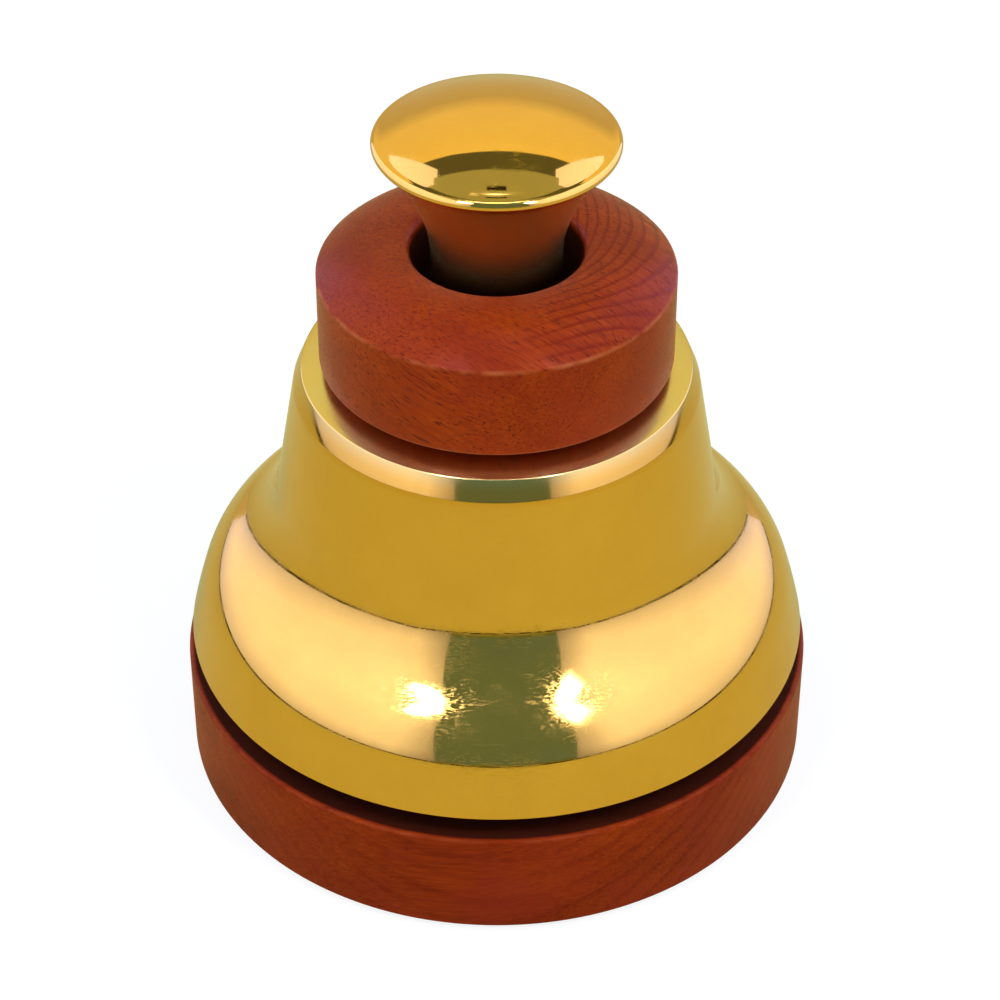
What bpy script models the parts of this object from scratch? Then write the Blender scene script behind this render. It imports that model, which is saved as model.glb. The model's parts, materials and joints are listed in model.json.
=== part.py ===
"""A service bell: a brass bell over a turned wooden base, with a wooden collar and a brass push knob on top.

The knob's rod runs down inside the hollow post that carries the bell. It tips a lever, and the ball on
the lever's other end strikes the bell's shoulder from inside. A coil spring lifts the knob again.

+Z is up and +X is the side that the hammer is on. The origin is the centre of the felt underside.
"""

import math

import bmesh
import bpy
from mathutils import Matrix, Vector

MM = 0.001
DEG = math.pi / 180

# Facets round a turned piece
LARGE_ROUND = 48
MIDDLE_ROUND = 40
PLAIN_ROUND = 32
SMALL_ROUND = 24
LEAST_ROUND = 20

# Clearances
SEAT_GAP = 0.3 * MM  # between faces that bear on each other
BORE_GAP = 0.3 * MM  # round a shaft, a rod or a bolt in its hole
SCREW_GAP = 0.4 * MM  # round a wood screw and its countersunk head
ROD_SLIDE_GAP = 0.4 * MM  # round the rod inside the post
STEM_GAP = 2.8 * MM  # round the knob's stem in the collar's hole
CAVITY_GAP = 0.4 * MM  # round the collar's washer inside the stem
CUT_OVERRUN = 1.0 * MM  # how far a drill runs past a face

# Wooden base and the felt under it
BASE_RADIUS = 45.0 * MM
BASE_HEIGHT = 16.4 * MM
BASE_EDGE_ROUND = 0.6 * MM
FELT_THICKNESS = 1.7 * MM
FELT_STANDS_PROUD = 0.6 * MM
FELT_MARGIN = 4.0 * MM  # from the felt's edge to the base's side

# Mounting plate, let in flush with the top of the base
PLATE_RADIUS = 30.0 * MM
PLATE_THICKNESS = 1.5 * MM
PLATE_SCREW_MARGIN = 4.0 * MM  # from the plate's edge to its screws' centres
PLATE_SCREW_COUNT = 3
PLATE_SCREW_LENGTH = 10.5 * MM
PLATE_SCREW_HEAD_RADIUS = 3.1 * MM
PLATE_SCREW_RADIUS = 1.5 * MM
PLATE_SCREW_POINT = 3.75 * MM  # length of the tapered end

# Bridge: a bent steel strap that stands on the plate and carries the post
BRIDGE_HEIGHT = 28.7 * MM
BRIDGE_THICKNESS = 2.0 * MM
BRIDGE_INNER_WIDTH = 17.4 * MM  # between the legs
BRIDGE_FOOT = 7.8 * MM  # how far each foot reaches out from its leg
BRIDGE_BACK = 11.0 * MM  # from the post's axis to the edge away from the hammer
BRIDGE_PAST_PIVOT = 5.0 * MM  # from the pivot to the edge on the hammer's side
BRIDGE_BEND_RADIUS = 2.5 * MM
BRIDGE_SCREW_RADIUS = 1.7 * MM
BRIDGE_SCREW_HEAD_RADIUS = 3.0 * MM
BRIDGE_SCREW_HEAD_HEIGHT = 2.0 * MM
BRIDGE_SCREW_LENGTH = 6.0 * MM
SCREW_SLOT_WIDTH = 0.8 * MM
SCREW_SLOT_DEPTH = 0.8 * MM

# Hollow threaded post and the nuts and washers on it
POST_RADIUS = 3.0 * MM
POST_STANDS_PAST_NUT = 0.5 * MM
NUT_WALL = 2.0 * MM  # from the post to a flat
NUT_HEIGHT = 2.5 * MM
NUT_CHAMFER = 0.4 * MM
BELL_WASHER_RADIUS = 8.0 * MM
BELL_WASHER_THICKNESS = 0.9 * MM
COLLAR_WASHER_MARGIN = 0.43 * MM  # of the washer past the nut's corners
COLLAR_WASHER_THICKNESS = 0.8 * MM

# Bell: heights are above the mouth, and slopes are measured from the vertical
MOUTH_GAP = 3.4 * MM  # from the base's top to the bell's mouth
MOUTH_RADIUS = 44.3 * MM
BELL_HEIGHT = 45.6 * MM
BELL_WALL = 2.2 * MM
SKIRT_SWELL = 90.0 * MM  # radius of the long curve above the mouth
SKIRT_LOW_SLOPE = 12.2 * DEG
SKIRT_TOP_SLOPE = 17.0 * DEG
SHOULDER_ROUND = 12.9 * MM
SHOULDER_SLOPE = 55.0 * DEG  # where the shoulder turns over into the neck's sweep
NECK_SWEEP = 15.8 * MM
NECK_SLOPE = 9.5 * DEG
BEVEL_HEIGHT = 2.9 * MM
BEVEL_WIDTH = 1.2 * MM
CROWN_RISE = 1.0 * MM
CROWN_SEAT_RADIUS = 12.0 * MM
CROWN_INNER_ROUND = 2.2 * MM

# Wooden collar
COLLAR_RADIUS = 24.3 * MM
COLLAR_SIDE = 13.2 * MM
COLLAR_EDGE_ROUND = 0.35 * MM
COLLAR_TOP_ROUND = 14.6 * MM  # radius of the domed top, seen in section
COLLAR_TOP_APEX = 14.3 * MM  # radius at which the domed top is highest
COLLAR_HOLE_ROUND = 1.2 * MM
COLLAR_FLOOR = 4.5 * MM  # wood left under the counterbore
COLLAR_SINK = 0.5 * MM  # the underside's recess over the upper bell washer

# Knob: stem, flare, rim and dome, from its lower end up
PRESS_TRAVEL = 4.0 * MM
STEM_RADIUS = 8.9 * MM
STEM_STRAIGHT = 7.5 * MM
FLARE_HEIGHT = 15.4 * MM
FLARE_POWER = 1.7
KNOB_RADIUS = 16.5 * MM
KNOB_RIM_ROUND = 0.8 * MM
KNOB_UNDERCUT = 0.3 * MM  # how far the flare stays inside the middle of the rim's round
DOME_RISE = 3.4 * MM
DOME_POWER = 2.2
KNOB_CAVITY_DEPTH = 15.7 * MM
ROD_GRIP = 6.5 * MM  # how far the rod goes into the knob above the cavity

# Plunger rod, its clip and foot, and the return spring
ROD_RADIUS = 1.3 * MM
ROD_GROOVE_RADIUS = 0.85 * MM
CLIP_LAP = 1.3 * MM  # of the clip past the post's bore, which stops the rod
CLIP_MOUTH_SHARE = 0.8  # width of a clip's mouth, as a share of its hole
CLIP_THICKNESS = 0.8 * MM
FOOT_RADIUS = 2.4 * MM
FOOT_LENGTH = 5.0 * MM
THRUST_WASHER_GAP = 0.8 * MM  # round the washer inside the stem
THRUST_WASHER_THICKNESS = 0.8 * MM
SPRING_WIRE_RADIUS = 0.45 * MM
SPRING_POST_GAP = 0.85 * MM  # between the post's end and the spring round it
SPRING_CLOSED_GAP = 0.225 * MM  # between the wires of a turn that is wound close
SPRING_TURNS = 6.5
SPRING_CLOSED_TURNS = 1.0  # turns wound close at each end

# Hammer: the lever's pivot, its two arms and the ball
PIVOT_OFFSET = 13.0 * MM  # from the rod's axis to the pivot, which is the tail's length too
PIVOT_HEIGHT = 12.0 * MM  # above the base's top
PIVOT_PIN_RADIUS = 1.2 * MM
PIVOT_HEAD_RADIUS = 2.2 * MM
PIVOT_HEAD_HEIGHT = 1.0 * MM
PIVOT_CLIP_THICKNESS = 0.6 * MM
PIVOT_GROOVE_RADIUS = 0.7 * MM
PIVOT_END = 0.8 * MM  # of the pin past its clip
SPACER_RADIUS = 2.6 * MM
LEVER_WIDTH = 6.0 * MM
HUB_STANDS_PROUD = 0.3 * MM  # of the lever's arms, on each side
LEVER_THICKNESS = 2.0 * MM
LEVER_HUB_RADIUS = 3.2 * MM
TAIL_FACE = 1.2 * MM  # height of the tail's upper face over the pivot's axis
TAIL_PAST_ROD = 3.0 * MM
BALL_RADIUS = 3.2 * MM
BALL_STRIKE_SLOPE = 50.0 * DEG  # slope of the shoulder where the ball meets it
BALL_STUB_RADIUS = 0.85 * MM
BALL_STUB_REACH = 1.0 * MM  # of the stub past the ball's centre
STRIKE_GAP = 0.35 * MM  # left between the ball and the bell at full press
BUMPER_RADIUS = 3.0 * MM

# Radii that follow
POST_BORE = ROD_RADIUS + ROD_SLIDE_GAP
NUT_ACROSS_FLATS = 2 * (POST_RADIUS + NUT_WALL)
NUT_CORNER = NUT_ACROSS_FLATS / math.sqrt(3)
COLLAR_WASHER_RADIUS = NUT_CORNER + COLLAR_WASHER_MARGIN
COLLAR_HOLE = STEM_RADIUS + STEM_GAP
KNOB_CAVITY_RADIUS = COLLAR_WASHER_RADIUS + CAVITY_GAP
THRUST_WASHER_RADIUS = KNOB_CAVITY_RADIUS - THRUST_WASHER_GAP
SPRING_MEAN_RADIUS = POST_RADIUS + SPRING_POST_GAP + SPRING_WIRE_RADIUS
CLIP_RADIUS = POST_BORE + CLIP_LAP

# Levels that follow
BASE_BOTTOM = FELT_STANDS_PROUD
BASE_TOP = BASE_BOTTOM + BASE_HEIGHT
PLATE_BOTTOM = BASE_TOP - PLATE_THICKNESS
BRIDGE_BOTTOM = BASE_TOP + SEAT_GAP
BRIDGE_TOP = BRIDGE_BOTTOM + BRIDGE_HEIGHT
WEB_BOTTOM = BRIDGE_TOP - BRIDGE_THICKNESS
POST_LOWER_NUT_BOTTOM = WEB_BOTTOM - SEAT_GAP - NUT_HEIGHT
POST_BOTTOM = POST_LOWER_NUT_BOTTOM - POST_STANDS_PAST_NUT
MOUTH = BASE_TOP + MOUTH_GAP
CROWN = MOUTH + BELL_HEIGHT
CROWN_UNDERSIDE = CROWN - BELL_WALL
LOWER_WASHER_BOTTOM = CROWN_UNDERSIDE - SEAT_GAP - BELL_WASHER_THICKNESS
SUPPORT_NUT_BOTTOM = LOWER_WASHER_BOTTOM - SEAT_GAP - NUT_HEIGHT
UPPER_WASHER_BOTTOM = CROWN + SEAT_GAP
SINK_CEILING = UPPER_WASHER_BOTTOM + BELL_WASHER_THICKNESS + SEAT_GAP
COLLAR_BOTTOM = SINK_CEILING - COLLAR_SINK
COLLAR_COUNTERBORE = SINK_CEILING + COLLAR_FLOOR
COLLAR_SHOULDER = COLLAR_BOTTOM + COLLAR_SIDE
COLLAR_WASHER_BOTTOM = COLLAR_COUNTERBORE + SEAT_GAP
COLLAR_NUT_BOTTOM = COLLAR_WASHER_BOTTOM + COLLAR_WASHER_THICKNESS + SEAT_GAP
COLLAR_NUT_TOP = COLLAR_NUT_BOTTOM + NUT_HEIGHT
POST_TOP = COLLAR_NUT_TOP + POST_STANDS_PAST_NUT
STEM_BOTTOM = COLLAR_COUNTERBORE + SEAT_GAP + PRESS_TRAVEL
CAVITY_CEILING = STEM_BOTTOM + KNOB_CAVITY_DEPTH
ROD_TOP = CAVITY_CEILING + ROD_GRIP
THRUST_WASHER_BOTTOM = CAVITY_CEILING - SEAT_GAP - THRUST_WASHER_THICKNESS
SPRING_BOTTOM = COLLAR_NUT_TOP + SEAT_GAP
SPRING_TOP = THRUST_WASHER_BOTTOM - SEAT_GAP

# Hammer geometry that follows
PIVOT = Vector((PIVOT_OFFSET, 0, BASE_TOP + PIVOT_HEIGHT))
SWING = PRESS_TRAVEL / PIVOT_OFFSET  # the lever's turn at full press, in radians
TAIL_ANGLE = SWING / 2  # the tail points up by this at rest, and down by it at full press
FOOT_CENTRE = PIVOT.z + (
    (SEAT_GAP + TAIL_FACE + FOOT_RADIUS + PIVOT_OFFSET * math.sin(TAIL_ANGLE)) / math.cos(TAIL_ANGLE)
)
FOOT_BOTTOM = FOOT_CENTRE - FOOT_RADIUS
CLIP_TOP = POST_BOTTOM - SEAT_GAP
ROD_BOTTOM = FOOT_CENTRE

COLOURS = {
    # name: (base colour, metallic, roughness)
    "brass": ((0.86, 0.60, 0.19), 1.0, 0.12),
    "cherry_wood": ((0.30, 0.06, 0.02), 0.0, 0.45),
    "zinc_steel": ((0.56, 0.57, 0.58), 1.0, 0.35),
    "spring_steel": ((0.40, 0.41, 0.43), 1.0, 0.30),
    "green_felt": ((0.03, 0.09, 0.05), 0.0, 0.95),
    "vulcan_fibre": ((0.22, 0.05, 0.03), 0.0, 0.70),
    "black_rubber": ((0.02, 0.02, 0.02), 0.0, 0.80),
    "nylon": ((0.80, 0.78, 0.72), 0.0, 0.50),
}


def clear_scene():
    for item in list(bpy.data.objects):
        bpy.data.objects.remove(item, do_unlink=True)


def new_collection(name):
    collection = bpy.data.collections.new(name)
    bpy.context.scene.collection.children.link(collection)
    return collection


def material(name):
    """The Principled material of this name, made the first time that it is asked for."""
    found = bpy.data.materials.get(name)
    if found:
        return found
    colour, metallic, roughness = COLOURS[name]
    made = bpy.data.materials.new(name)
    made.use_nodes = True
    made.diffuse_color = (*colour, 1)
    shader = made.node_tree.nodes["Principled BSDF"]
    shader.inputs["Base Color"].default_value = (*colour, 1)
    shader.inputs["Metallic"].default_value = metallic
    shader.inputs["Roughness"].default_value = roughness
    return made


def add_part(name, data, colour, home=None):
    """A visible part of the bell. Its origin goes to the parent empty's place where it has one."""
    part = bpy.data.objects.new(name, data)
    parts_collection.objects.link(part)
    if home:
        part.parent = home
    data.materials.append(material(colour))
    return part


def add_tool(name, data):
    """A cutter, or a shape that is joined to a part."""
    tool = bpy.data.objects.new(name, data)
    cutters_collection.objects.link(tool)
    tool.hide_render = True
    tool.display_type = "WIRE"
    return tool


def add_home(name, place):
    """An empty on a joint's axis, which the pieces that move there hang from."""
    home = bpy.data.objects.new(name, None)
    home.location = place
    home.empty_display_size = 5 * MM
    parts_collection.objects.link(home)
    return home


def profile_mesh(name, profile):
    """The section that a turned shape is spun from. It is a loop unless it starts and ends on the axis."""
    points = [(radius, 0, height) for radius, height in profile]
    edges = [(i, i + 1) for i in range(len(points) - 1)]
    on_axis = profile[0][0] == 0 and profile[-1][0] == 0
    if not on_axis:
        edges.append((len(points) - 1, 0))
    mesh = bpy.data.meshes.new(name)
    mesh.from_pydata(points, edges, [])
    return mesh


def spin(item, steps):
    """Turns an object's profile about its Z axis."""
    screw = item.modifiers.new("Turn", "SCREW")
    screw.axis = "Z"
    screw.steps = steps
    screw.render_steps = steps
    screw.use_merge_vertices = True
    screw.merge_threshold = 0.005 * MM
    screw.use_smooth_shade = True
    return item


def turned_part(name, profile, colour, steps=PLAIN_ROUND, home=None):
    return spin(add_part(name, profile_mesh(name, profile), colour, home), steps)


def turned_tool(name, profile, place, steps=PLAIN_ROUND):
    tool = spin(add_tool(name, profile_mesh(name, profile)), steps)
    tool.location = place
    return tool


def cylinder_mesh(name, radius, length, segments=PLAIN_ROUND):
    """A cylinder with its lower end at its origin."""
    mesh = bpy.data.meshes.new(name)
    shape = bmesh.new()
    bmesh.ops.create_cone(
        shape, cap_ends=True, segments=segments, radius1=radius, radius2=radius, depth=length
    )
    bmesh.ops.translate(shape, verts=shape.verts, vec=(0, 0, length / 2))
    shape.to_mesh(mesh)
    shape.free()
    return mesh


def box_mesh(name, low, high):
    """A box between two corners."""
    low, high = Vector(low), Vector(high)
    mesh = bpy.data.meshes.new(name)
    shape = bmesh.new()
    bmesh.ops.create_cube(shape, size=1)
    bmesh.ops.scale(shape, verts=shape.verts, vec=high - low)
    bmesh.ops.translate(shape, verts=shape.verts, vec=(low + high) / 2)
    shape.to_mesh(mesh)
    shape.free()
    return mesh


def drill(name, start, end, radius, segments=SMALL_ROUND):
    """A cylinder from one point to another, to cut with."""
    start, end = Vector(start), Vector(end)
    tool = add_tool(name, cylinder_mesh(name, radius, (end - start).length, segments))
    tool.location = start
    tool.rotation_euler = (end - start).to_track_quat("Z", "Y").to_euler()
    return tool


def combine(part, tool, operation):
    boolean = part.modifiers.new(tool.name, "BOOLEAN")
    boolean.operation = operation
    boolean.solver = "EXACT"
    boolean.object = tool
    return part


def cut(part, tool):
    return combine(part, tool, "DIFFERENCE")


def join(part, tool):
    return combine(part, tool, "UNION")


def arc(centre, radius, first, last, pieces):
    """Points on a circle in the section plane, from one angle to another. Angle 0 points outwards."""
    return [
        (
            centre[0] + radius * math.cos(first + (last - first) * i / pieces),
            centre[1] + radius * math.sin(first + (last - first) * i / pieces),
        )
        for i in range(pieces + 1)
    ]


def ring_profile(outer, inner, bottom, top):
    """The section of a plain washer, bush or disc. Inner 0 gives a solid disc."""
    if inner == 0:
        return [(0, top), (outer, top), (outer, bottom), (0, bottom)]
    return [(outer, top), (outer, bottom), (inner, bottom), (inner, top)]


def plate_screw_places():
    """The three wood screws stand on a circle, the first of them opposite the hammer."""
    pitch = PLATE_RADIUS - PLATE_SCREW_MARGIN
    turn = 2 * math.pi / PLATE_SCREW_COUNT
    return [
        Vector((pitch * math.cos(math.pi + turn * i), pitch * math.sin(math.pi + turn * i), BASE_TOP))
        for i in range(PLATE_SCREW_COUNT)
    ]


def bridge_screw_places():
    """One screw through the middle of each foot of the bridge."""
    leg_outside = BRIDGE_INNER_WIDTH / 2 + BRIDGE_THICKNESS
    along = (PIVOT_OFFSET + BRIDGE_PAST_PIVOT - BRIDGE_BACK) / 2
    across = leg_outside + (BRIDGE_FOOT + BRIDGE_BEND_RADIUS / 2) / 2
    return {
        "front": Vector((along, -across, BRIDGE_BOTTOM + BRIDGE_THICKNESS)),
        "rear": Vector((along, across, BRIDGE_BOTTOM + BRIDGE_THICKNESS)),
    }


def wood_screw_profile(grow=0.0):
    """A countersunk wood screw with its head's face at height 0. Grow widens it into its hole."""
    head, shank = PLATE_SCREW_HEAD_RADIUS + grow, PLATE_SCREW_RADIUS + grow
    cone = PLATE_SCREW_HEAD_RADIUS - PLATE_SCREW_RADIUS
    end = PLATE_SCREW_LENGTH + grow
    top = [(0, CUT_OVERRUN), (head, CUT_OVERRUN)] if grow else [(0, 0)]
    return [
        *top,
        (head, 0),
        (shank, -cone),
        (shank, -end + PLATE_SCREW_POINT),
        (0, -end),
    ]


def make_base():
    """The turned wooden base, with a recess for the plate above and one for the felt below."""
    felt_recess_radius = BASE_RADIUS - FELT_MARGIN + SEAT_GAP
    felt_recess_top = FELT_THICKNESS + SEAT_GAP
    plate_recess_radius = PLATE_RADIUS + SEAT_GAP
    plate_recess_floor = PLATE_BOTTOM - SEAT_GAP
    round_at = BASE_RADIUS - BASE_EDGE_ROUND
    profile = [
        (0, plate_recess_floor),
        (plate_recess_radius, plate_recess_floor),
        (plate_recess_radius, BASE_TOP),
        *arc((round_at, BASE_TOP - BASE_EDGE_ROUND), BASE_EDGE_ROUND, 90 * DEG, 0, 2),
        *arc((round_at, BASE_BOTTOM + BASE_EDGE_ROUND), BASE_EDGE_ROUND, 0, -90 * DEG, 2),
        (felt_recess_radius, BASE_BOTTOM),
        (felt_recess_radius, felt_recess_top),
        (0, felt_recess_top),
    ]
    base = turned_part("wooden_base", profile, "cherry_wood", steps=LARGE_ROUND)
    for i, place in enumerate(plate_screw_places()):
        hole = turned_tool(f"base_screw_hole_{i + 1}", wood_screw_profile(SCREW_GAP), place, SMALL_ROUND)
        cut(base, hole)
    for side, place in bridge_screw_places().items():
        bottom = Vector((place.x, place.y, place.z - BRIDGE_SCREW_LENGTH - SEAT_GAP))
        top = Vector((place.x, place.y, BASE_TOP))
        cut(base, drill(f"base_pocket_{side}", bottom, top, BRIDGE_SCREW_RADIUS + SCREW_GAP))
    return base


def make_felt():
    return turned_part(
        "base_felt_pad",
        ring_profile(BASE_RADIUS - FELT_MARGIN, 0, 0, FELT_THICKNESS),
        "green_felt",
        steps=LARGE_ROUND,
    )


def make_plate():
    """The steel plate in the base's top, with its two sorts of screw hole."""
    profile = ring_profile(PLATE_RADIUS, 0, PLATE_BOTTOM, BASE_TOP)
    plate = turned_part("mounting_plate", profile, "zinc_steel", steps=LARGE_ROUND)
    for i, place in enumerate(plate_screw_places()):
        hole = turned_tool(f"countersink_{i + 1}", wood_screw_profile(SCREW_GAP), place, SMALL_ROUND)
        cut(plate, hole)
    for side, place in bridge_screw_places().items():
        bottom = Vector((place.x, place.y, PLATE_BOTTOM - CUT_OVERRUN))
        top = Vector((place.x, place.y, BASE_TOP + CUT_OVERRUN))
        cut(plate, drill(f"plate_hole_{side}", bottom, top, BRIDGE_SCREW_RADIUS + BORE_GAP))
    return plate


def cut_slot(screw, place, radius):
    """A straight driver slot across a screw's head."""
    half = SCREW_SLOT_WIDTH / 2
    reach = radius + CUT_OVERRUN
    low = (-reach, -half, -SCREW_SLOT_DEPTH)
    high = (reach, half, CUT_OVERRUN)
    tool = add_tool(screw.name + "_slot", box_mesh(screw.name + "_slot", low, high))
    tool.location = place
    tool.rotation_euler = (0, 0, math.atan2(place.y, place.x))
    cut(screw, tool)


def make_plate_screws():
    for i, place in enumerate(plate_screw_places()):
        screw = turned_part(f"plate_screw_{i + 1}", wood_screw_profile(), "zinc_steel", steps=LEAST_ROUND)
        screw.location = place
        cut_slot(screw, place, PLATE_SCREW_HEAD_RADIUS)


def make_bridge_screws():
    """Pan-head screws that hold the bridge's feet to the plate."""
    head, shank = BRIDGE_SCREW_HEAD_RADIUS, BRIDGE_SCREW_RADIUS
    top = SEAT_GAP + BRIDGE_SCREW_HEAD_HEIGHT
    edge = BRIDGE_SCREW_HEAD_HEIGHT / 2
    for side, place in bridge_screw_places().items():
        profile = [
            (0, top),
            (head - edge, top),
            *arc((head - edge, top - edge), edge, 60 * DEG, 0, 2),
            (head, SEAT_GAP),
            (shank, SEAT_GAP),
            (shank, -BRIDGE_SCREW_LENGTH),
            (0, -BRIDGE_SCREW_LENGTH),
        ]
        screw = turned_part(f"bridge_screw_{side}", profile, "zinc_steel", steps=SMALL_ROUND)
        screw.location = place
        cut_slot(screw, place + Vector((0, 0, top)), head)


def rounded_path(corners, radius, pieces):
    """A path of straight runs in a plane, with each inner corner rounded to an arc."""
    path = [Vector(corners[0])]
    for before, corner, after in zip(corners, corners[1:], corners[2:]):
        corner = Vector(corner)
        back = (Vector(before) - corner).normalized()
        ahead = (Vector(after) - corner).normalized()
        half = back.angle(ahead) / 2
        centre = corner + (back + ahead).normalized() * radius / math.sin(half)
        start = corner + back * radius / math.tan(half) - centre
        end = corner + ahead * radius / math.tan(half) - centre
        turn = start.angle_signed(end)
        for i in range(pieces + 1):
            path.append(centre + Matrix.Rotation(-turn * i / pieces, 2) @ start)
    path.append(Vector(corners[-1]))
    return path


def make_bridge():
    """The strap is bent to an upturned U with feet, from a sheet whose middle layer is drawn here."""
    leg = BRIDGE_INNER_WIDTH / 2 + BRIDGE_THICKNESS / 2
    foot = leg + BRIDGE_THICKNESS / 2 + BRIDGE_FOOT
    low = BRIDGE_BOTTOM + BRIDGE_THICKNESS / 2
    high = BRIDGE_TOP - BRIDGE_THICKNESS / 2
    corners = [(-foot, low), (-leg, low), (-leg, high), (leg, high), (leg, low), (foot, low)]
    path = rounded_path(corners, BRIDGE_BEND_RADIUS, 4)
    near, far = -BRIDGE_BACK, PIVOT_OFFSET + BRIDGE_PAST_PIVOT
    points = [(x, y, z) for x in (near, far) for y, z in path]
    count = len(path)
    faces = [(i, i + 1, count + i + 1, count + i) for i in range(count - 1)]
    mesh = bpy.data.meshes.new("bridge")
    mesh.from_pydata(points, [], faces)
    bridge = add_part("bridge", mesh, "zinc_steel")
    sheet = bridge.modifiers.new("Thickness", "SOLIDIFY")
    sheet.thickness = BRIDGE_THICKNESS
    sheet.offset = 0
    sheet.use_even_offset = True
    post_hole_bottom = (0, 0, WEB_BOTTOM - CUT_OVERRUN)
    post_hole_top = (0, 0, BRIDGE_TOP + CUT_OVERRUN)
    cut(bridge, drill("post_hole", post_hole_bottom, post_hole_top, POST_RADIUS + BORE_GAP, PLAIN_ROUND))
    pin_reach = Vector((0, leg + BRIDGE_THICKNESS, 0))
    cut(bridge, drill("pin_hole", PIVOT - pin_reach, PIVOT + pin_reach, PIVOT_PIN_RADIUS + BORE_GAP))
    for side, place in bridge_screw_places().items():
        bottom = place - Vector((0, 0, BRIDGE_THICKNESS + CUT_OVERRUN))
        top = place + Vector((0, 0, CUT_OVERRUN))
        cut(bridge, drill(f"foot_hole_{side}", bottom, top, BRIDGE_SCREW_RADIUS + BORE_GAP))
    return bridge


def make_post():
    return turned_part(
        "hollow_post", ring_profile(POST_RADIUS, POST_BORE, POST_BOTTOM, POST_TOP), "brass", steps=SMALL_ROUND
    )


def make_nut(name, bottom):
    """A thin hexagon nut on the post. Its corners are chamfered and its faces are left flat."""
    sides = 6
    nut = add_part(name, cylinder_mesh(name, NUT_CORNER, NUT_HEIGHT, sides), "zinc_steel")
    nut.location.z = bottom
    face = NUT_ACROSS_FLATS / 2
    blank = [
        (0, NUT_HEIGHT + CUT_OVERRUN),
        (face - CUT_OVERRUN, NUT_HEIGHT + CUT_OVERRUN),
        (face, NUT_HEIGHT),
        (NUT_CORNER + NUT_CHAMFER, NUT_HEIGHT - NUT_CHAMFER),
        (NUT_CORNER + NUT_CHAMFER, NUT_CHAMFER),
        (face, 0),
        (face - CUT_OVERRUN, -CUT_OVERRUN),
        (0, -CUT_OVERRUN),
    ]
    combine(nut, turned_tool(name + "_chamfer", blank, (0, 0, bottom), SMALL_ROUND), "INTERSECT")
    below = (0, 0, bottom - CUT_OVERRUN)
    above = (0, 0, bottom + NUT_HEIGHT + CUT_OVERRUN)
    cut(nut, drill(name + "_bore", below, above, POST_RADIUS + BORE_GAP))
    return nut


def make_washer(name, radius, bottom, thickness, colour):
    profile = ring_profile(radius, POST_RADIUS + BORE_GAP, bottom, bottom + thickness)
    return turned_part(name, profile, colour, steps=SMALL_ROUND)


def make_post_hardware():
    """Everything that is threaded or dropped on to the post, from the bridge up."""
    make_nut("post_lower_nut", POST_LOWER_NUT_BOTTOM)
    make_nut("post_upper_nut", BRIDGE_TOP + SEAT_GAP)
    make_nut("bell_support_nut", SUPPORT_NUT_BOTTOM)
    for side, bottom in (("lower", LOWER_WASHER_BOTTOM), ("upper", UPPER_WASHER_BOTTOM)):
        name = f"{side}_bell_washer"
        make_washer(name, BELL_WASHER_RADIUS, bottom, BELL_WASHER_THICKNESS, "vulcan_fibre")
    make_washer(
        "collar_washer", COLLAR_WASHER_RADIUS, COLLAR_WASHER_BOTTOM, COLLAR_WASHER_THICKNESS, "zinc_steel"
    )
    make_nut("collar_nut", COLLAR_NUT_BOTTOM)


def bell_curves():
    """The bell's outer side from the mouth up, as arcs: (centre, radius, lower angle, upper angle).

    An angle is that of the outward normal above the horizontal, which is the side's slope from the
    vertical. The neck's sweep is hollow, so its centre lies outside and its radius is negative.
    """
    skirt_centre = (
        MOUTH_RADIUS - SKIRT_SWELL * math.cos(SKIRT_LOW_SLOPE),
        MOUTH - SKIRT_SWELL * math.sin(SKIRT_LOW_SLOPE),
    )
    skirt = (skirt_centre, SKIRT_SWELL, SKIRT_LOW_SLOPE, SKIRT_TOP_SLOPE)
    shoulder = next_arc(skirt, SHOULDER_ROUND, SHOULDER_SLOPE)
    sweep = next_arc(shoulder, -NECK_SWEEP, NECK_SLOPE)
    return skirt, shoulder, sweep


def next_arc(below, radius, upper):
    """An arc that carries on smoothly from the one below it."""
    centre, old_radius, _, joint = below
    shift = old_radius - radius
    return (
        (centre[0] + shift * math.cos(joint), centre[1] + shift * math.sin(joint)),
        radius,
        joint,
        upper,
    )


def bell_wall_profile(inset, pieces):
    """Points up the bell's side from the mouth to the neck's top, this far inside the outer surface."""
    points = []
    for (centre, radius, lower, upper), count in zip(bell_curves(), pieces):
        points += arc(centre, radius - inset, lower, upper, count)[1 if points else 0 :]
    return points


def neck_top(inset):
    """Where the straight neck ends under the bevel, this far inside the outer surface."""
    foot = bell_wall_profile(inset, (1, 1, 1))[-1]
    height = CROWN - CROWN_RISE - BEVEL_HEIGHT - inset * math.sin(NECK_SLOPE)
    return foot[0] - (height - foot[1]) * math.tan(NECK_SLOPE), height


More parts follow.
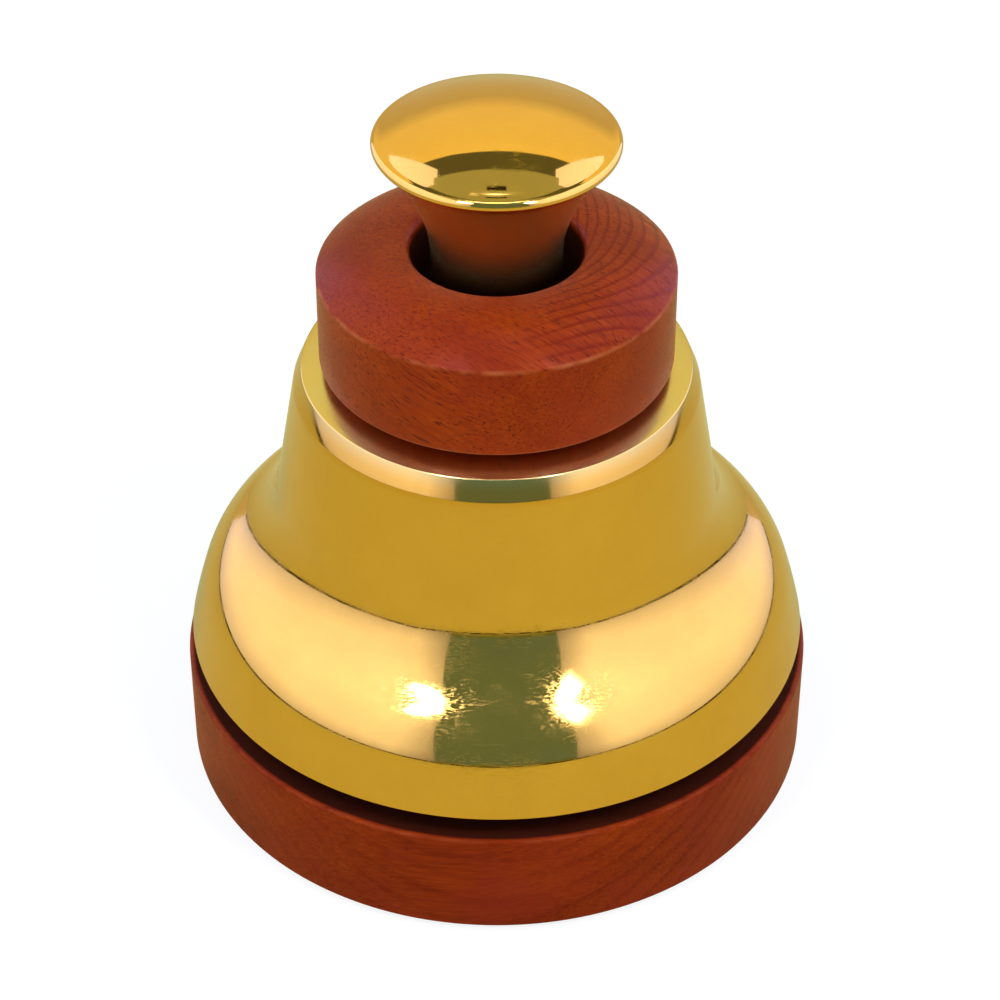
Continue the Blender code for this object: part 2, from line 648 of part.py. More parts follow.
def make_bell():
    """The bell's section runs from the crown's hole over the ridge and down, then back up inside."""
    outer_side = bell_wall_profile(0, (2, 6, 4))
    bevel_foot = neck_top(0)
    ridge = (bevel_foot[0] - BEVEL_WIDTH, CROWN - CROWN_RISE)
    crown_pieces = 3
    crown = []
    for i in range(crown_pieces):
        share = i / crown_pieces
        radius = CROWN_SEAT_RADIUS + (ridge[0] - CROWN_SEAT_RADIUS) * share
        crown.append((radius, CROWN - CROWN_RISE * share**2))
    inner_side = bell_wall_profile(BELL_WALL, (1, 4, 3))
    inner_mouth = (inner_side[0][0] - (MOUTH - inner_side[0][1]) * math.tan(SKIRT_LOW_SLOPE), MOUTH)
    inner_neck = neck_top(BELL_WALL)
    hole = POST_RADIUS + BORE_GAP
    inner_round_middle = (inner_neck[0] - CROWN_INNER_ROUND, CROWN_UNDERSIDE - CROWN_INNER_ROUND)
    profile = [
        (hole, CROWN),
        *crown,
        ridge,
        bevel_foot,
        *reversed(outer_side),
        inner_mouth,
        *inner_side[1:],
        inner_neck,
        *arc(inner_round_middle, CROWN_INNER_ROUND, 0, 90 * DEG, 2)[1:],
        (hole, CROWN_UNDERSIDE),
    ]
    return turned_part("bell", profile, "brass", steps=LARGE_ROUND)


def collar_top_height(radius):
    """Height of the collar's domed top, which is an arc in section."""
    drop = math.sqrt(COLLAR_TOP_ROUND**2 - (COLLAR_RADIUS - COLLAR_TOP_APEX) ** 2)
    return COLLAR_SHOULDER - drop + math.sqrt(COLLAR_TOP_ROUND**2 - (radius - COLLAR_TOP_APEX) ** 2)


def make_collar():
    """The wooden collar, counterbored from above for its nut and sunk from below over the washer."""
    first = COLLAR_HOLE + COLLAR_HOLE_ROUND
    top = []
    pieces = 4
    for i in range(pieces + 1):
        radius = first + (COLLAR_RADIUS - COLLAR_EDGE_ROUND - first) * i / pieces
        top.append((radius, collar_top_height(radius)))
    hole_round = arc(
        (first, top[0][1] - COLLAR_HOLE_ROUND), COLLAR_HOLE_ROUND, 180 * DEG, 90 * DEG, 2
    )
    edge_in = COLLAR_RADIUS - COLLAR_EDGE_ROUND
    lower_round = arc((edge_in, COLLAR_BOTTOM + COLLAR_EDGE_ROUND), COLLAR_EDGE_ROUND, 0, -90 * DEG, 2)
    sink = BELL_WASHER_RADIUS + 2 * BORE_GAP
    hole = POST_RADIUS + BORE_GAP
    profile = [
        *hole_round[:-1],
        *top,
        (COLLAR_RADIUS, top[-1][1] - COLLAR_EDGE_ROUND),
        *lower_round,
        (sink, COLLAR_BOTTOM),
        (sink, SINK_CEILING),
        (hole, SINK_CEILING),
        (hole, COLLAR_COUNTERBORE),
        (COLLAR_HOLE, COLLAR_COUNTERBORE),
    ]
    return turned_part("wooden_collar", profile, "cherry_wood", steps=MIDDLE_ROUND)


def make_knob(home):
    """The knob is turned from one brass bar: a domed cap, a thin rim, a flare and a hollow stem."""
    flare_bottom = STEM_BOTTOM + STEM_STRAIGHT
    flare_top = flare_bottom + FLARE_HEIGHT
    rim_middle = KNOB_RADIUS - KNOB_RIM_ROUND
    rim_height = flare_top + KNOB_RIM_ROUND
    dome_foot = rim_height + KNOB_RIM_ROUND
    dome_pieces = 4
    dome = []
    for i in range(dome_pieces + 1):
        share = i / dome_pieces
        dome.append((rim_middle * share, dome_foot + DOME_RISE * (1 - share**DOME_POWER)))
    rim = arc((rim_middle, rim_height), KNOB_RIM_ROUND, 60 * DEG, -75 * DEG, 3)
    flare_pieces = 5
    flare = []
    flare_width = rim_middle - KNOB_UNDERCUT - STEM_RADIUS
    for i in range(flare_pieces + 1):
        share = 1 - i / flare_pieces
        flare.append((STEM_RADIUS + flare_width * share**FLARE_POWER, flare_bottom + FLARE_HEIGHT * share))
    profile = [
        *dome,
        *rim,
        *flare,
        (STEM_RADIUS, STEM_BOTTOM),
        (KNOB_CAVITY_RADIUS, STEM_BOTTOM),
        (KNOB_CAVITY_RADIUS, CAVITY_CEILING),
        (ROD_RADIUS + BORE_GAP, CAVITY_CEILING),
        (ROD_RADIUS + BORE_GAP, ROD_TOP + SEAT_GAP),
        (0, ROD_TOP + SEAT_GAP),
    ]
    return turned_part("knob", profile, "brass", steps=MIDDLE_ROUND, home=home)


def make_rod(home):
    """The rod from the knob to its nylon foot, with a groove for the clip that holds it in."""
    groove_top = CLIP_TOP + SEAT_GAP
    groove_bottom = CLIP_TOP - CLIP_THICKNESS - SEAT_GAP
    profile = [
        (0, ROD_TOP),
        (ROD_RADIUS, ROD_TOP),
        (ROD_RADIUS, groove_top),
        (ROD_GROOVE_RADIUS, groove_top),
        (ROD_GROOVE_RADIUS, groove_bottom),
        (ROD_RADIUS, groove_bottom),
        (ROD_RADIUS, ROD_BOTTOM),
        (0, ROD_BOTTOM),
    ]
    return turned_part("plunger_rod", profile, "zinc_steel", steps=SMALL_ROUND, home=home)


def make_open_clip(name, inner, outer, thickness):
    """A snap-on clip: a flat ring with a mouth that is a little narrower than its hole."""
    clip = turned_part(name, ring_profile(outer, inner, 0, thickness), "spring_steel", SMALL_ROUND)
    half_mouth = inner * CLIP_MOUTH_SHARE
    low = (0, -half_mouth, -CUT_OVERRUN)
    high = (outer + CUT_OVERRUN, half_mouth, thickness + CUT_OVERRUN)
    mouth = add_tool(name + "_mouth", box_mesh(name + "_mouth", low, high))
    mouth.parent = clip
    return cut(clip, mouth)


def make_rod_clip(home):
    clip = make_open_clip(
        "rod_retaining_clip", ROD_GROOVE_RADIUS + BORE_GAP, CLIP_RADIUS, CLIP_THICKNESS
    )
    clip.parent = home
    clip.location.z = CLIP_TOP - CLIP_THICKNESS
    return clip


def make_foot(home):
    """A round-ended nylon cap on the rod's lower end, which bears on the lever's tail."""
    hole = ROD_RADIUS + BORE_GAP
    floor = ROD_BOTTOM - SEAT_GAP
    top = FOOT_BOTTOM + FOOT_LENGTH
    profile = [
        (hole, top),
        (FOOT_RADIUS, top),
        *arc((0, FOOT_CENTRE), FOOT_RADIUS, 0, -90 * DEG, 6)[:-1],
        (0, FOOT_BOTTOM),
        (0, floor),
        (hole, floor),
    ]
    return turned_part_on_axis("rod_foot", profile, "nylon", home)


def turned_part_on_axis(name, profile, colour, home):
    """For a blind-bored piece: the two points on the axis don't join, so the section is left open there."""
    start = next(i for i in range(len(profile)) if profile[i][0] == 0 and profile[i + 1][0] == 0)
    opened = profile[start + 1 :] + profile[: start + 1]
    return turned_part(name, opened, colour, steps=SMALL_ROUND, home=home)


def make_thrust_washer(home):
    profile = ring_profile(
        THRUST_WASHER_RADIUS,
        ROD_RADIUS + BORE_GAP,
        THRUST_WASHER_BOTTOM,
        THRUST_WASHER_BOTTOM + THRUST_WASHER_THICKNESS,
    )
    return turned_part("spring_thrust_washer", profile, "brass", steps=SMALL_ROUND, home=home)


def spring_height(turn):
    """Height of the wire's middle after so many turns: close-wound ends and an even pitch between."""
    wire = 2 * SPRING_WIRE_RADIUS + SPRING_CLOSED_GAP
    closed = SPRING_CLOSED_TURNS
    open_turns = SPRING_TURNS - 2 * closed
    low = SPRING_BOTTOM + SPRING_WIRE_RADIUS
    high = SPRING_TOP - SPRING_WIRE_RADIUS
    pitch = (high - low - 2 * closed * wire) / open_turns
    below = min(turn, closed)
    above = max(turn - closed - open_turns, 0)
    return low + (below + above) * wire + (turn - below - above) * pitch


def make_spring():
    """The return spring, between the collar nut and the thrust washer."""
    curve = bpy.data.curves.new("return_spring", "CURVE")
    curve.dimensions = "3D"
    curve.bevel_depth = SPRING_WIRE_RADIUS
    curve.bevel_resolution = 2
    curve.use_fill_caps = True
    steps_per_turn = 12
    count = round(SPRING_TURNS * steps_per_turn)
    spline = curve.splines.new("POLY")
    spline.points.add(count)
    for i in range(count + 1):
        turn = i / steps_per_turn
        angle = 2 * math.pi * turn
        spline.points[i].co = (
            SPRING_MEAN_RADIUS * math.cos(angle),
            SPRING_MEAN_RADIUS * math.sin(angle),
            spring_height(turn),
            1,
        )
    return add_part("return_spring", curve, "spring_steel")


def strike_point():
    """The ball's centre at full press, just short of the inside of the shoulder."""
    centre, radius, _, _ = bell_curves()[1]
    reach = radius - BELL_WALL - BALL_RADIUS - STRIKE_GAP
    return Vector(
        (
            centre[0] + reach * math.cos(BALL_STRIKE_SLOPE),
            0,
            centre[1] + reach * math.sin(BALL_STRIKE_SLOPE),
        )
    )


def hammer_arm():
    """(length from the pivot to the ball's centre, how far the arm dips below level at rest)."""
    reach = strike_point() - PIVOT
    return reach.length, SWING - math.atan2(reach.z, reach.x)


def turned_about_pivot(tool, dip):
    """Sets a shape that is drawn along +X to point down by this angle from the pivot."""
    tool.rotation_euler = (0, dip, 0)
    return tool


def make_lever(home):
    """The lever: a hub, a tail under the rod's foot, and an arm with a stub for the ball."""
    arm_length, dip = hammer_arm()
    half = LEVER_WIDTH / 2 - HUB_STANDS_PROUD
    thick = LEVER_THICKNESS / 2
    hub = cylinder_mesh("hammer_lever", LEVER_HUB_RADIUS, LEVER_WIDTH)
    hub.transform(Matrix.Rotation(90 * DEG, 4, "X") @ Matrix.Translation((0, 0, -LEVER_WIDTH / 2)))
    lever = add_part("hammer_lever", hub, "zinc_steel", home)
    tail_end = -(PIVOT_OFFSET + TAIL_PAST_ROD)
    arm_end = arm_length - BALL_RADIUS - SEAT_GAP
    stub_length = BALL_STUB_REACH + BALL_RADIUS + SEAT_GAP + LEVER_THICKNESS
    tail = box_mesh("lever_tail", (tail_end, -half, TAIL_FACE - LEVER_THICKNESS), (0, half, TAIL_FACE))
    arm = box_mesh("lever_arm", (0, -half, -thick), (arm_end, half, thick))
    stub = cylinder_mesh("lever_stub", BALL_STUB_RADIUS, stub_length, SMALL_ROUND)
    stub.transform(Matrix.Translation((arm_end - LEVER_THICKNESS, 0, 0)) @ Matrix.Rotation(90 * DEG, 4, "Y"))
    for mesh, angle in ((tail, TAIL_ANGLE), (arm, dip), (stub, dip)):
        tool = turned_about_pivot(add_tool(mesh.name, mesh), angle)
        tool.parent = home
        join(lever, tool)
    across = Vector((0, LEVER_WIDTH / 2 + CUT_OVERRUN, 0))
    bore = drill("lever_bore", PIVOT - across, PIVOT + across, PIVOT_PIN_RADIUS + BORE_GAP)
    return cut(lever, bore)


def make_ball(home):
    """The ball is bored to fit on the arm's stub."""
    arm_length, dip = hammer_arm()
    hole = BALL_STUB_RADIUS + BORE_GAP
    floor = BALL_STUB_REACH + SEAT_GAP
    mouth_angle = math.acos(hole / BALL_RADIUS)
    outside = arc((0, 0), BALL_RADIUS, 90 * DEG, -mouth_angle, 7)
    profile = [(0, BALL_RADIUS), *outside[1:], (hole, floor), (0, floor)]
    ball = turned_part("hammer_ball", profile, "brass", steps=LEAST_ROUND, home=home)
    ball.location = (arm_length * math.cos(dip), 0, -arm_length * math.sin(dip))
    ball.rotation_euler = (0, 90 * DEG + dip, 0)
    return ball


def make_pivot():
    """The pin across the bridge's legs, its clip, and the two tubes that keep the lever in the middle."""
    leg_inside = BRIDGE_INNER_WIDTH / 2
    leg_outside = leg_inside + BRIDGE_THICKNESS
    head_bottom = -(leg_outside + SEAT_GAP)
    clip_start = leg_outside + SEAT_GAP
    groove_start = clip_start - SEAT_GAP / 2
    groove_end = clip_start + PIVOT_CLIP_THICKNESS + SEAT_GAP
    end = groove_end + PIVOT_END
    profile = [
        (0, end),
        (PIVOT_PIN_RADIUS, end),
        (PIVOT_PIN_RADIUS, groove_end),
        (PIVOT_GROOVE_RADIUS, groove_end),
        (PIVOT_GROOVE_RADIUS, groove_start),
        (PIVOT_PIN_RADIUS, groove_start),
        (PIVOT_PIN_RADIUS, head_bottom),
        (PIVOT_HEAD_RADIUS, head_bottom),
        (PIVOT_HEAD_RADIUS, head_bottom - PIVOT_HEAD_HEIGHT),
        (0, head_bottom - PIVOT_HEAD_HEIGHT),
    ]
    lay_across = (-90 * DEG, 0, 0)
    pin = turned_part("hammer_pivot_pin", profile, "zinc_steel", steps=SMALL_ROUND)
    pin.location = PIVOT
    pin.rotation_euler = lay_across
    clip = make_open_clip(
        "pivot_pin_clip", PIVOT_GROOVE_RADIUS + SEAT_GAP, PIVOT_HEAD_RADIUS, PIVOT_CLIP_THICKNESS
    )
    clip.location = PIVOT + Vector((0, clip_start, 0))
    clip.rotation_euler = lay_across
    inner_end = LEVER_WIDTH / 2 + SEAT_GAP
    outer_end = leg_inside - SEAT_GAP
    for side, low, high in (("front", -outer_end, -inner_end), ("rear", inner_end, outer_end)):
        section = ring_profile(SPACER_RADIUS, PIVOT_PIN_RADIUS + BORE_GAP, low, high)
        spacer = turned_part(f"lever_spacer_{side}", section, "brass", steps=SMALL_ROUND)
        spacer.location = PIVOT
        spacer.rotation_euler = lay_across


def make_bumper():
    """A rubber button on the plate, midway between hub and ball, that the arm comes to rest on."""
    arm_length, dip = hammer_arm()
    reach = (LEVER_HUB_RADIUS + arm_length - BALL_RADIUS) / 2
    clear = LEVER_THICKNESS / 2 + BUMPER_RADIUS + SEAT_GAP
    middle = PIVOT.z - (clear + reach * math.sin(dip)) / math.cos(dip)
    profile = [
        *arc((0, middle), BUMPER_RADIUS, 90 * DEG, 0, 5),
        (BUMPER_RADIUS, BASE_TOP + SEAT_GAP),
        (0, BASE_TOP + SEAT_GAP),
    ]
    profile[0] = (0, middle + BUMPER_RADIUS)
    bumper = turned_part("hammer_rest_bumper", profile, "black_rubber", steps=SMALL_ROUND)
    bumper.location.x = PIVOT_OFFSET + reach
    return bumper


def bake(part):
    """Applies a part's modifiers, and shades it smooth but for its sharp edges."""
    graph = bpy.context.evaluated_depsgraph_get()
    mesh = bpy.data.meshes.new_from_object(part.evaluated_get(graph))
    mesh.name = part.name
    part.modifiers.clear()
    part.data = mesh
    mesh.shade_smooth()
    mesh.set_sharp_from_angle(angle=35 * DEG)


clear_scene()
parts_collection = new_collection("service_bell")
cutters_collection = new_collection("service_bell_cutters")

make_base()
make_felt()
make_plate()
make_plate_screws()
make_bridge()
make_bridge_screws()
make_post()
make_post_hardware()
make_bell()
make_collar()

plunger_home = add_home("plunger_axis", (0, 0, 0))
make_knob(plunger_home)
make_rod(plunger_home)
make_rod_clip(plunger_home)
make_foot(plunger_home)
make_thrust_washer(plunger_home)
make_spring()

hammer_home = add_home("hammer_axis", PIVOT)
make_lever(hammer_home)
make_ball(hammer_home)
make_pivot()
make_bumper()

bpy.context.view_layer.update()
for made_part in parts_collection.objects:
    if made_part.type == "MESH":
        bake(made_part)
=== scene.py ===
import json
import math

import bpy
from mathutils import Matrix, Vector

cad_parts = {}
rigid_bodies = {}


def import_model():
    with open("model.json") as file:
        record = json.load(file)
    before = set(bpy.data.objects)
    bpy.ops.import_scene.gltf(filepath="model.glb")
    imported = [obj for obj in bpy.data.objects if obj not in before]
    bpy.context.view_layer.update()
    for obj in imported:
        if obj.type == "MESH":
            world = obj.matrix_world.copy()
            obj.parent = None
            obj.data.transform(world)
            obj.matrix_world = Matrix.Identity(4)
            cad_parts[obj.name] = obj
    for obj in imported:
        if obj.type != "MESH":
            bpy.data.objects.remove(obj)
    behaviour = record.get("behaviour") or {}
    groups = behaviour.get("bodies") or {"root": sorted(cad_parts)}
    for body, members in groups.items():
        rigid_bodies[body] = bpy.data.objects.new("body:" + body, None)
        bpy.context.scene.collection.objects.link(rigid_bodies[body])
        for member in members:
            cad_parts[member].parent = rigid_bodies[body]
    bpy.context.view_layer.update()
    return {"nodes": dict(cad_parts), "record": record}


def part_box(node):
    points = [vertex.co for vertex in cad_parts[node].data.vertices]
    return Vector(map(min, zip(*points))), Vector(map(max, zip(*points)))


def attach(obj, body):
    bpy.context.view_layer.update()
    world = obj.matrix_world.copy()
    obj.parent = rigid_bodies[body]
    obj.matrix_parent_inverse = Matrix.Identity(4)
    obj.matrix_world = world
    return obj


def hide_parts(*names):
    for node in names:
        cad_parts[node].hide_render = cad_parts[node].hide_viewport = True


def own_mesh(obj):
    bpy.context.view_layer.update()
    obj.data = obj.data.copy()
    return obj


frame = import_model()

# Service bell: a turned brass bell and push knob on a cherry-stained wooden base and collar
mm = 0.001
degree = math.pi / 180
clearance = 0.3 * mm  # between neighbouring pieces, as in the frame


# The camera: a little over the counter, with a long lens
camera = {
    "distance": 430 * mm,
    "elevation": 38.2 * degree,
    "aimHeight": 40.6 * mm,
    "lens": 108.9,
    "shiftX": 0.0033,
}


def placeCamera():
    back = camera["distance"] * math.cos(camera["elevation"])
    up = camera["distance"] * math.sin(camera["elevation"])
    bpy.ops.object.camera_add(
        location=(0, -back, camera["aimHeight"] + up),
        rotation=(90 * degree - camera["elevation"], 0, 0),
    )
    made = bpy.context.object
    made.data.lens = camera["lens"]
    made.data.shift_x = camera["shiftX"]
    made.data.clip_start = 0.01
    bpy.context.scene.camera = made
    print("camera placed")


# Shader helpers


def feed(tree, node, inputs):
    # an input takes a plain value or another node's output
    for key, value in inputs.items():
        if isinstance(value, bpy.types.NodeSocket):
            tree.links.new(value, node.inputs[key])
        else:
            node.inputs[key].default_value = value
    return node


def put(tree, kind, inputs=None, **settings):
    # adds one shader node
    node = tree.nodes.new("ShaderNode" + kind)
    for key, value in settings.items():
        setattr(node, key, value)
    return feed(tree, node, inputs or {})


def mixColours(tree, share, first, second):
    return put(tree, "Mix", {0: share, 6: first, 7: second}, data_type="RGBA").outputs[2]


def sums(tree, operation, first, second=0.0, third=0.0):
    return put(tree, "Math", {0: first, 1: second, 2: third}, operation=operation).outputs[0]


def times(tree, first, second):
    return sums(tree, "MULTIPLY", first, second)


def minus(tree, first, second):
    return sums(tree, "SUBTRACT", first, second)


def timesPlus(tree, first, second, third):
    return sums(tree, "MULTIPLY_ADD", first, second, third)


def lengthOf(tree, first, second):
    # the length of a line whose two sides are given
    return sums(tree, "SQRT", timesPlus(tree, first, first, times(tree, second, second)))


def axes(tree, place):
    return put(tree, "SeparateXYZ", {0: place}).outputs


def spread(tree, value, low, high, toLow=0.0, toHigh=1.0, kind="LINEAR"):
    # maps a value between low and high to toLow and toHigh, and holds it there outside them
    values = {"Value": value, "From Min": low, "From Max": high, "To Min": toLow, "To Max": toHigh}
    return put(tree, "MapRange", values, interpolation_type=kind).outputs[0]


def stretch(tree, place, scale):
    return put(tree, "Mapping", {"Vector": place, "Scale": scale}).outputs[0]


def bumps(tree, height, depth, below=None):
    # one layer of relief, over the one below it
    inputs = {"Strength": 1.0, "Distance": depth, "Height": height}
    if below:
        inputs["Normal"] = below
    return put(tree, "Bump", inputs).outputs[0]


def noise(tree, place, scale, detail=3.0, roughness=0.5, distortion=0.0):
    values = {"Vector": place, "Scale": scale, "Detail": detail}
    values.update({"Roughness": roughness, "Distortion": distortion})
    return put(tree, "TexNoise", values).outputs["Fac"]


def ramp(tree, value, stops):
    # stops are (position, grey) pairs
    node = put(tree, "ValToRGB", {"Fac": value})
    band = node.color_ramp
    while len(band.elements) < len(stops):
        band.elements.new(0.5)
    for element, (position, grey) in zip(band.elements, stops):
        element.position = position
        element.color = (grey, grey, grey, 1)
    return node.outputs["Color"]


def rgba(colour):
    return (*colour, 1)


def newGroup(name, inputs, outputs):
    # an input is given by its kind, or by its usual value if it is a number
    tree = bpy.data.node_groups.new(name, "ShaderNodeTree")
    for title, given in inputs.items():
        kind = given if isinstance(given, str) else "Float"
        socket = tree.interface.new_socket(name=title, in_out="INPUT", socket_type="NodeSocket" + kind)
        if kind == "Float":
            socket.default_value = given
    for title, kind in outputs.items():
        tree.interface.new_socket(name=title, in_out="OUTPUT", socket_type="NodeSocket" + kind)
    entry = tree.nodes.new("NodeGroupInput")
    return tree, entry.outputs, tree.nodes.new("NodeGroupOutput")


def useGroup(tree, group, inputs):
    return put(tree, "Group", inputs, node_tree=group).outputs


def emptyTree(owner):
    owner.use_nodes = True
    owner.node_tree.nodes.clear()
    return owner.node_tree


def deselect():
    bpy.ops.object.select_all(action="DESELECT")


def selectMesh():
    bpy.ops.mesh.select_all(action="SELECT")


def newMaterial(name):
    made = bpy.data.materials.new(name)
    made.use_nodes = True
    tree = made.node_tree
    shader = tree.nodes["Principled BSDF"]
    place = put(tree, "TexCoord").outputs["Object"]
    return made, tree, shader, place


# The studio: a white tent round the bell, open in front for the camera, with a flash head at each side

studio = {
    "halfWidth": 330 * mm,
    "front": -450 * mm,
    "back": 430 * mm,
    "sideTop": 950 * mm,
    "backTop": 750 * mm,
    "ceiling": 900 * mm,
    "ceilingFront": -230 * mm,
    "ceilingBack": 330 * mm,
    "sideFront": -370 * mm,  # the side walls stop short of the front ones
    "frontHalf": 410 * mm,
    # the slit's edges at the counter, at the front wall's top and at the ceiling's own opening
    "slitLeft": (-160 * mm, -246 * mm, -182 * mm),
    "slitRight": (218 * mm, 287 * mm, 246 * mm),
    "slitShade": 150 * mm,  # how far the cloth beside the slit stays dimmer
    "skirting": 10 * mm,  # a dark line where the tent's cloth meets the counter
    "counterSize": 6.0,
    "cloth": (1.0, 1.08, 2.0),
    "backCloth": (1.0, 0.90, 0.50),
    "ceilingCloth": (0.88, 1.02, 0.85),
    "room": (0.15, 0.26, 0.38),  # what polished brass sees through the tent's openings
    # each flash head's bright patch on the cloth, across and up; its shape is 1 for a kite
    "glows": (
        {"middle": (285 * mm, 960 * mm), "size": (270 * mm, 620 * mm), "shape": 1.0},
        {"middle": (-318 * mm, 930 * mm), "size": (88 * mm, 340 * mm), "shape": 3.0},
    ),
    "glow": 26.0,
    "glowEdge": 0.55,  # a patch is full bright this far out, and fades beyond
    "glowFade": 1.6,
    "besideSlit": 0.42,  # brightness of the cloth right beside the slit
    # brightness of the cloth at heights above the counter
    "sideLevels": [(0, 0.85), (0.11, 1.35), (0.45, 1.6), (0.9, 1.3)],
    "frontLevels": [(0, 0.8), (0.11, 1.25), (0.45, 1.5), (0.9, 1.25)],
    "backLevels": [(0, 0.62), (0.24, 0.66), (0.33, 1.0), (0.75, 1.12)],
    "ceilingLevel": 0.52,
    # two bright strips and a dark fitting, which the knob's cap mirrors: place, drop, width and depth
    "fittings": {
        "tentCeilingStrip": (95 * mm, 5 * mm, 330 * mm, 50 * mm),
        "frontCeilingStrip": (-15 * mm, 5 * mm, 260 * mm, 50 * mm),
        "ceilingFitting": (165 * mm, 10 * mm, 100 * mm, 34 * mm),
    },
    "stripCloth": (1, 1.05, 1.6),
    "stripLevel": 9.0,
    "darkCloth": (0.10, 0.08, 0.05),
    "darkLevel": 0.2,
    "roomBehind": (1.0, 1.15, 0.9),
    "roomBehindLevel": 0.13,
    # soft lamps stand where the cloth is, and only light matt surfaces
    "softLeft": 0.55,
    "softRight": 0.50,
    "softBack": 0.40,
    "softFront": 0.30,
    "softTop": 0.28,
    "softTilt": -0.1,
    # the flash heads: place, width and height
    "flashes": {
        "flashLeft": ((-260 * mm, -290 * mm, 700 * mm), 130 * mm, 130 * mm),
        "flashRight": ((330 * mm, -310 * mm, 640 * mm), 130 * mm, 220 * mm),
    },
    "flash": 18.0,
    "flashTarget": (0, 0, 50 * mm),
    "counterPaper": ((0.73, 0.64, 0.26), (0.77, 0.68, 0.28)),  # as the brass mirrors it
    "counterShown": (0.20, 0.20, 0.20),
    "counterGlow": 0.86,
    "backdrop": 0.92,
}


def clothMaterial(name, colour, levels, extra=None):
    # glows by itself, brighter or dimmer with its height; levels are (height, brightness) pairs
    made = bpy.data.materials.new(name)
    tree = emptyTree(made)
    where = axes(tree, put(tree, "TexCoord").outputs["Object"])
    brightest = max(brightness for _, brightness in levels)
    share = sums(tree, "DIVIDE", where["Z"], studio["sideTop"])
    stops = [(height / studio["sideTop"], brightness / brightest) for height, brightness in levels]
    strength = times(tree, ramp(tree, share, stops), brightest)
    if extra:
        strength = extra(tree, where, strength)
    glow = put(tree, "Emission", {"Color": rgba(colour), "Strength": strength})
    put(tree, "OutputMaterial", {"Surface": glow.outputs[0]})
    made.cycles.emission_sampling = "NONE"
    return made


def evenCloth(name, colour, brightness):
    return clothMaterial(name, colour, [(0, brightness), (0.9, brightness)])


def frontGlow(tree, where, strength):
    # dimmer beside the slit, with a hot patch where each flash head shines through the cloth
    toLeft = minus(tree, studio["slitLeft"][0], where["X"])
    toRight = minus(tree, where["X"], studio["slitRight"][0])
    away = sums(tree, "MAXIMUM", toLeft, toRight)
    strength = times(tree, strength, spread(tree, away, 0.0, studio["slitShade"], studio["besideSlit"]))
    # up the front wall, then on along the ceiling
    climb = sums(tree, "ADD", where["Z"], minus(tree, where["Y"], studio["front"]))
    for glow in studio["glows"]:
        parts = []
        for value, middle, size in zip((where["X"], climb), glow["middle"], glow["size"]):
            share = sums(tree, "ABSOLUTE", sums(tree, "DIVIDE", minus(tree, value, middle), size))
            parts.append(sums(tree, "POWER", share, glow["shape"]))
        near = spread(tree, sums(tree, "ADD", *parts), 1.0, studio["glowEdge"])
        hot = sums(tree, "POWER", near, studio["glowFade"])
        strength = timesPlus(tree, hot, studio["glow"], strength)
    return strength


def hangCloth(name, centre, width, height, facing, material):
    # a sheet that only polished surfaces see: neither the camera nor matt surfaces do
    deselect()
    turn = Vector(facing).to_track_quat("Z", "Y").to_euler()
    bpy.ops.mesh.primitive_plane_add(size=1, location=centre, rotation=turn)
    sheet = bpy.context.object
    sheet.name = name
    sheet.scale = (width, height, 1)
    bpy.ops.object.transform_apply()
    sheet.data.materials.append(material)
    for sight in ("camera", "diffuse", "shadow", "transmission"):
        setattr(sheet, "visible_" + sight, False)
    return sheet


def addLamp(name, centre, width, height, facing, radiance, shape="RECTANGLE"):
    # matt surfaces see it, but neither the camera nor a mirror does
    turn = Vector(facing).to_track_quat("-Z", "Y").to_euler()
    bpy.ops.object.light_add(type="AREA", location=centre, rotation=turn)
    lamp = bpy.context.object
    lamp.name = name
    lamp.data.shape = shape
    lamp.data.size = width
    lamp.data.size_y = height
    area = width * height * (math.pi / 4 if shape == "ELLIPSE" else 1)
    lamp.data.energy = math.pi * area * radiance
    lamp.visible_camera = False
    lamp.visible_glossy = False


def slantEdge(sheet, edge, axis, place, moved):
    # moves the one corner that is on this edge, and at this place along the axis, sideways
    for vertex in sheet.data.vertices:
        if abs(vertex.co.x - edge) < mm and abs(vertex.co[axis] - place) < mm:
            vertex.co.x = moved


def hangWalls():
    half, front, back = studio["halfWidth"], studio["front"], studio["back"]
    top, backTop, ceiling = studio["sideTop"], studio["backTop"], studio["ceiling"]
    side = clothMaterial("tentSide", studio["cloth"], studio["sideLevels"])
    frontSide = clothMaterial("tentFront", studio["cloth"], studio["frontLevels"], frontGlow)
    rear = clothMaterial("tentBack", studio["backCloth"], studio["backLevels"])
    behind = evenCloth("roomBehind", studio["roomBehind"], studio["roomBehindLevel"])
    sideDepth = back - studio["sideFront"]
    sideMiddle = (back + studio["sideFront"]) / 2
    hangCloth("tentLeft", (-half, sideMiddle, top / 2), sideDepth, top, (1, 0, 0), side)
    hangCloth("tentRight", (half, sideMiddle, top / 2), sideDepth, top, (-1, 0, 0), side)
    hangCloth("tentBack", (0, back, backTop / 2), 2 * half, backTop, (0, -1, 0), rear)
    hangCloth("roomBehind", (0, back + 70 * mm, top), 4 * half, top, (0, -1, 0), behind)
    # the front is in two halves, each running on over the ceiling
    ceilingFront = studio["ceilingFront"]
    for name, outer in (("Left", -studio["frontHalf"]), ("Right", studio["frontHalf"])):
        edges = studio["slit" + name]
        inner = edges[1]
        wide, centre = abs(outer - inner), (inner + outer) / 2
        place = (centre, front, ceiling / 2)
        wall = hangCloth("tentFront" + name, place, wide, ceiling, (0, 1, 0), frontSide)
        slantEdge(wall, inner, 2, 0, edges[0])
        place, deep = (centre, (front + ceilingFront) / 2, ceiling), ceilingFront - front
        flap = hangCloth("tentFrontCeiling" + name, place, wide, deep, (0, 0, -1), frontSide)
        slantEdge(flap, inner, 1, ceilingFront, edges[2])


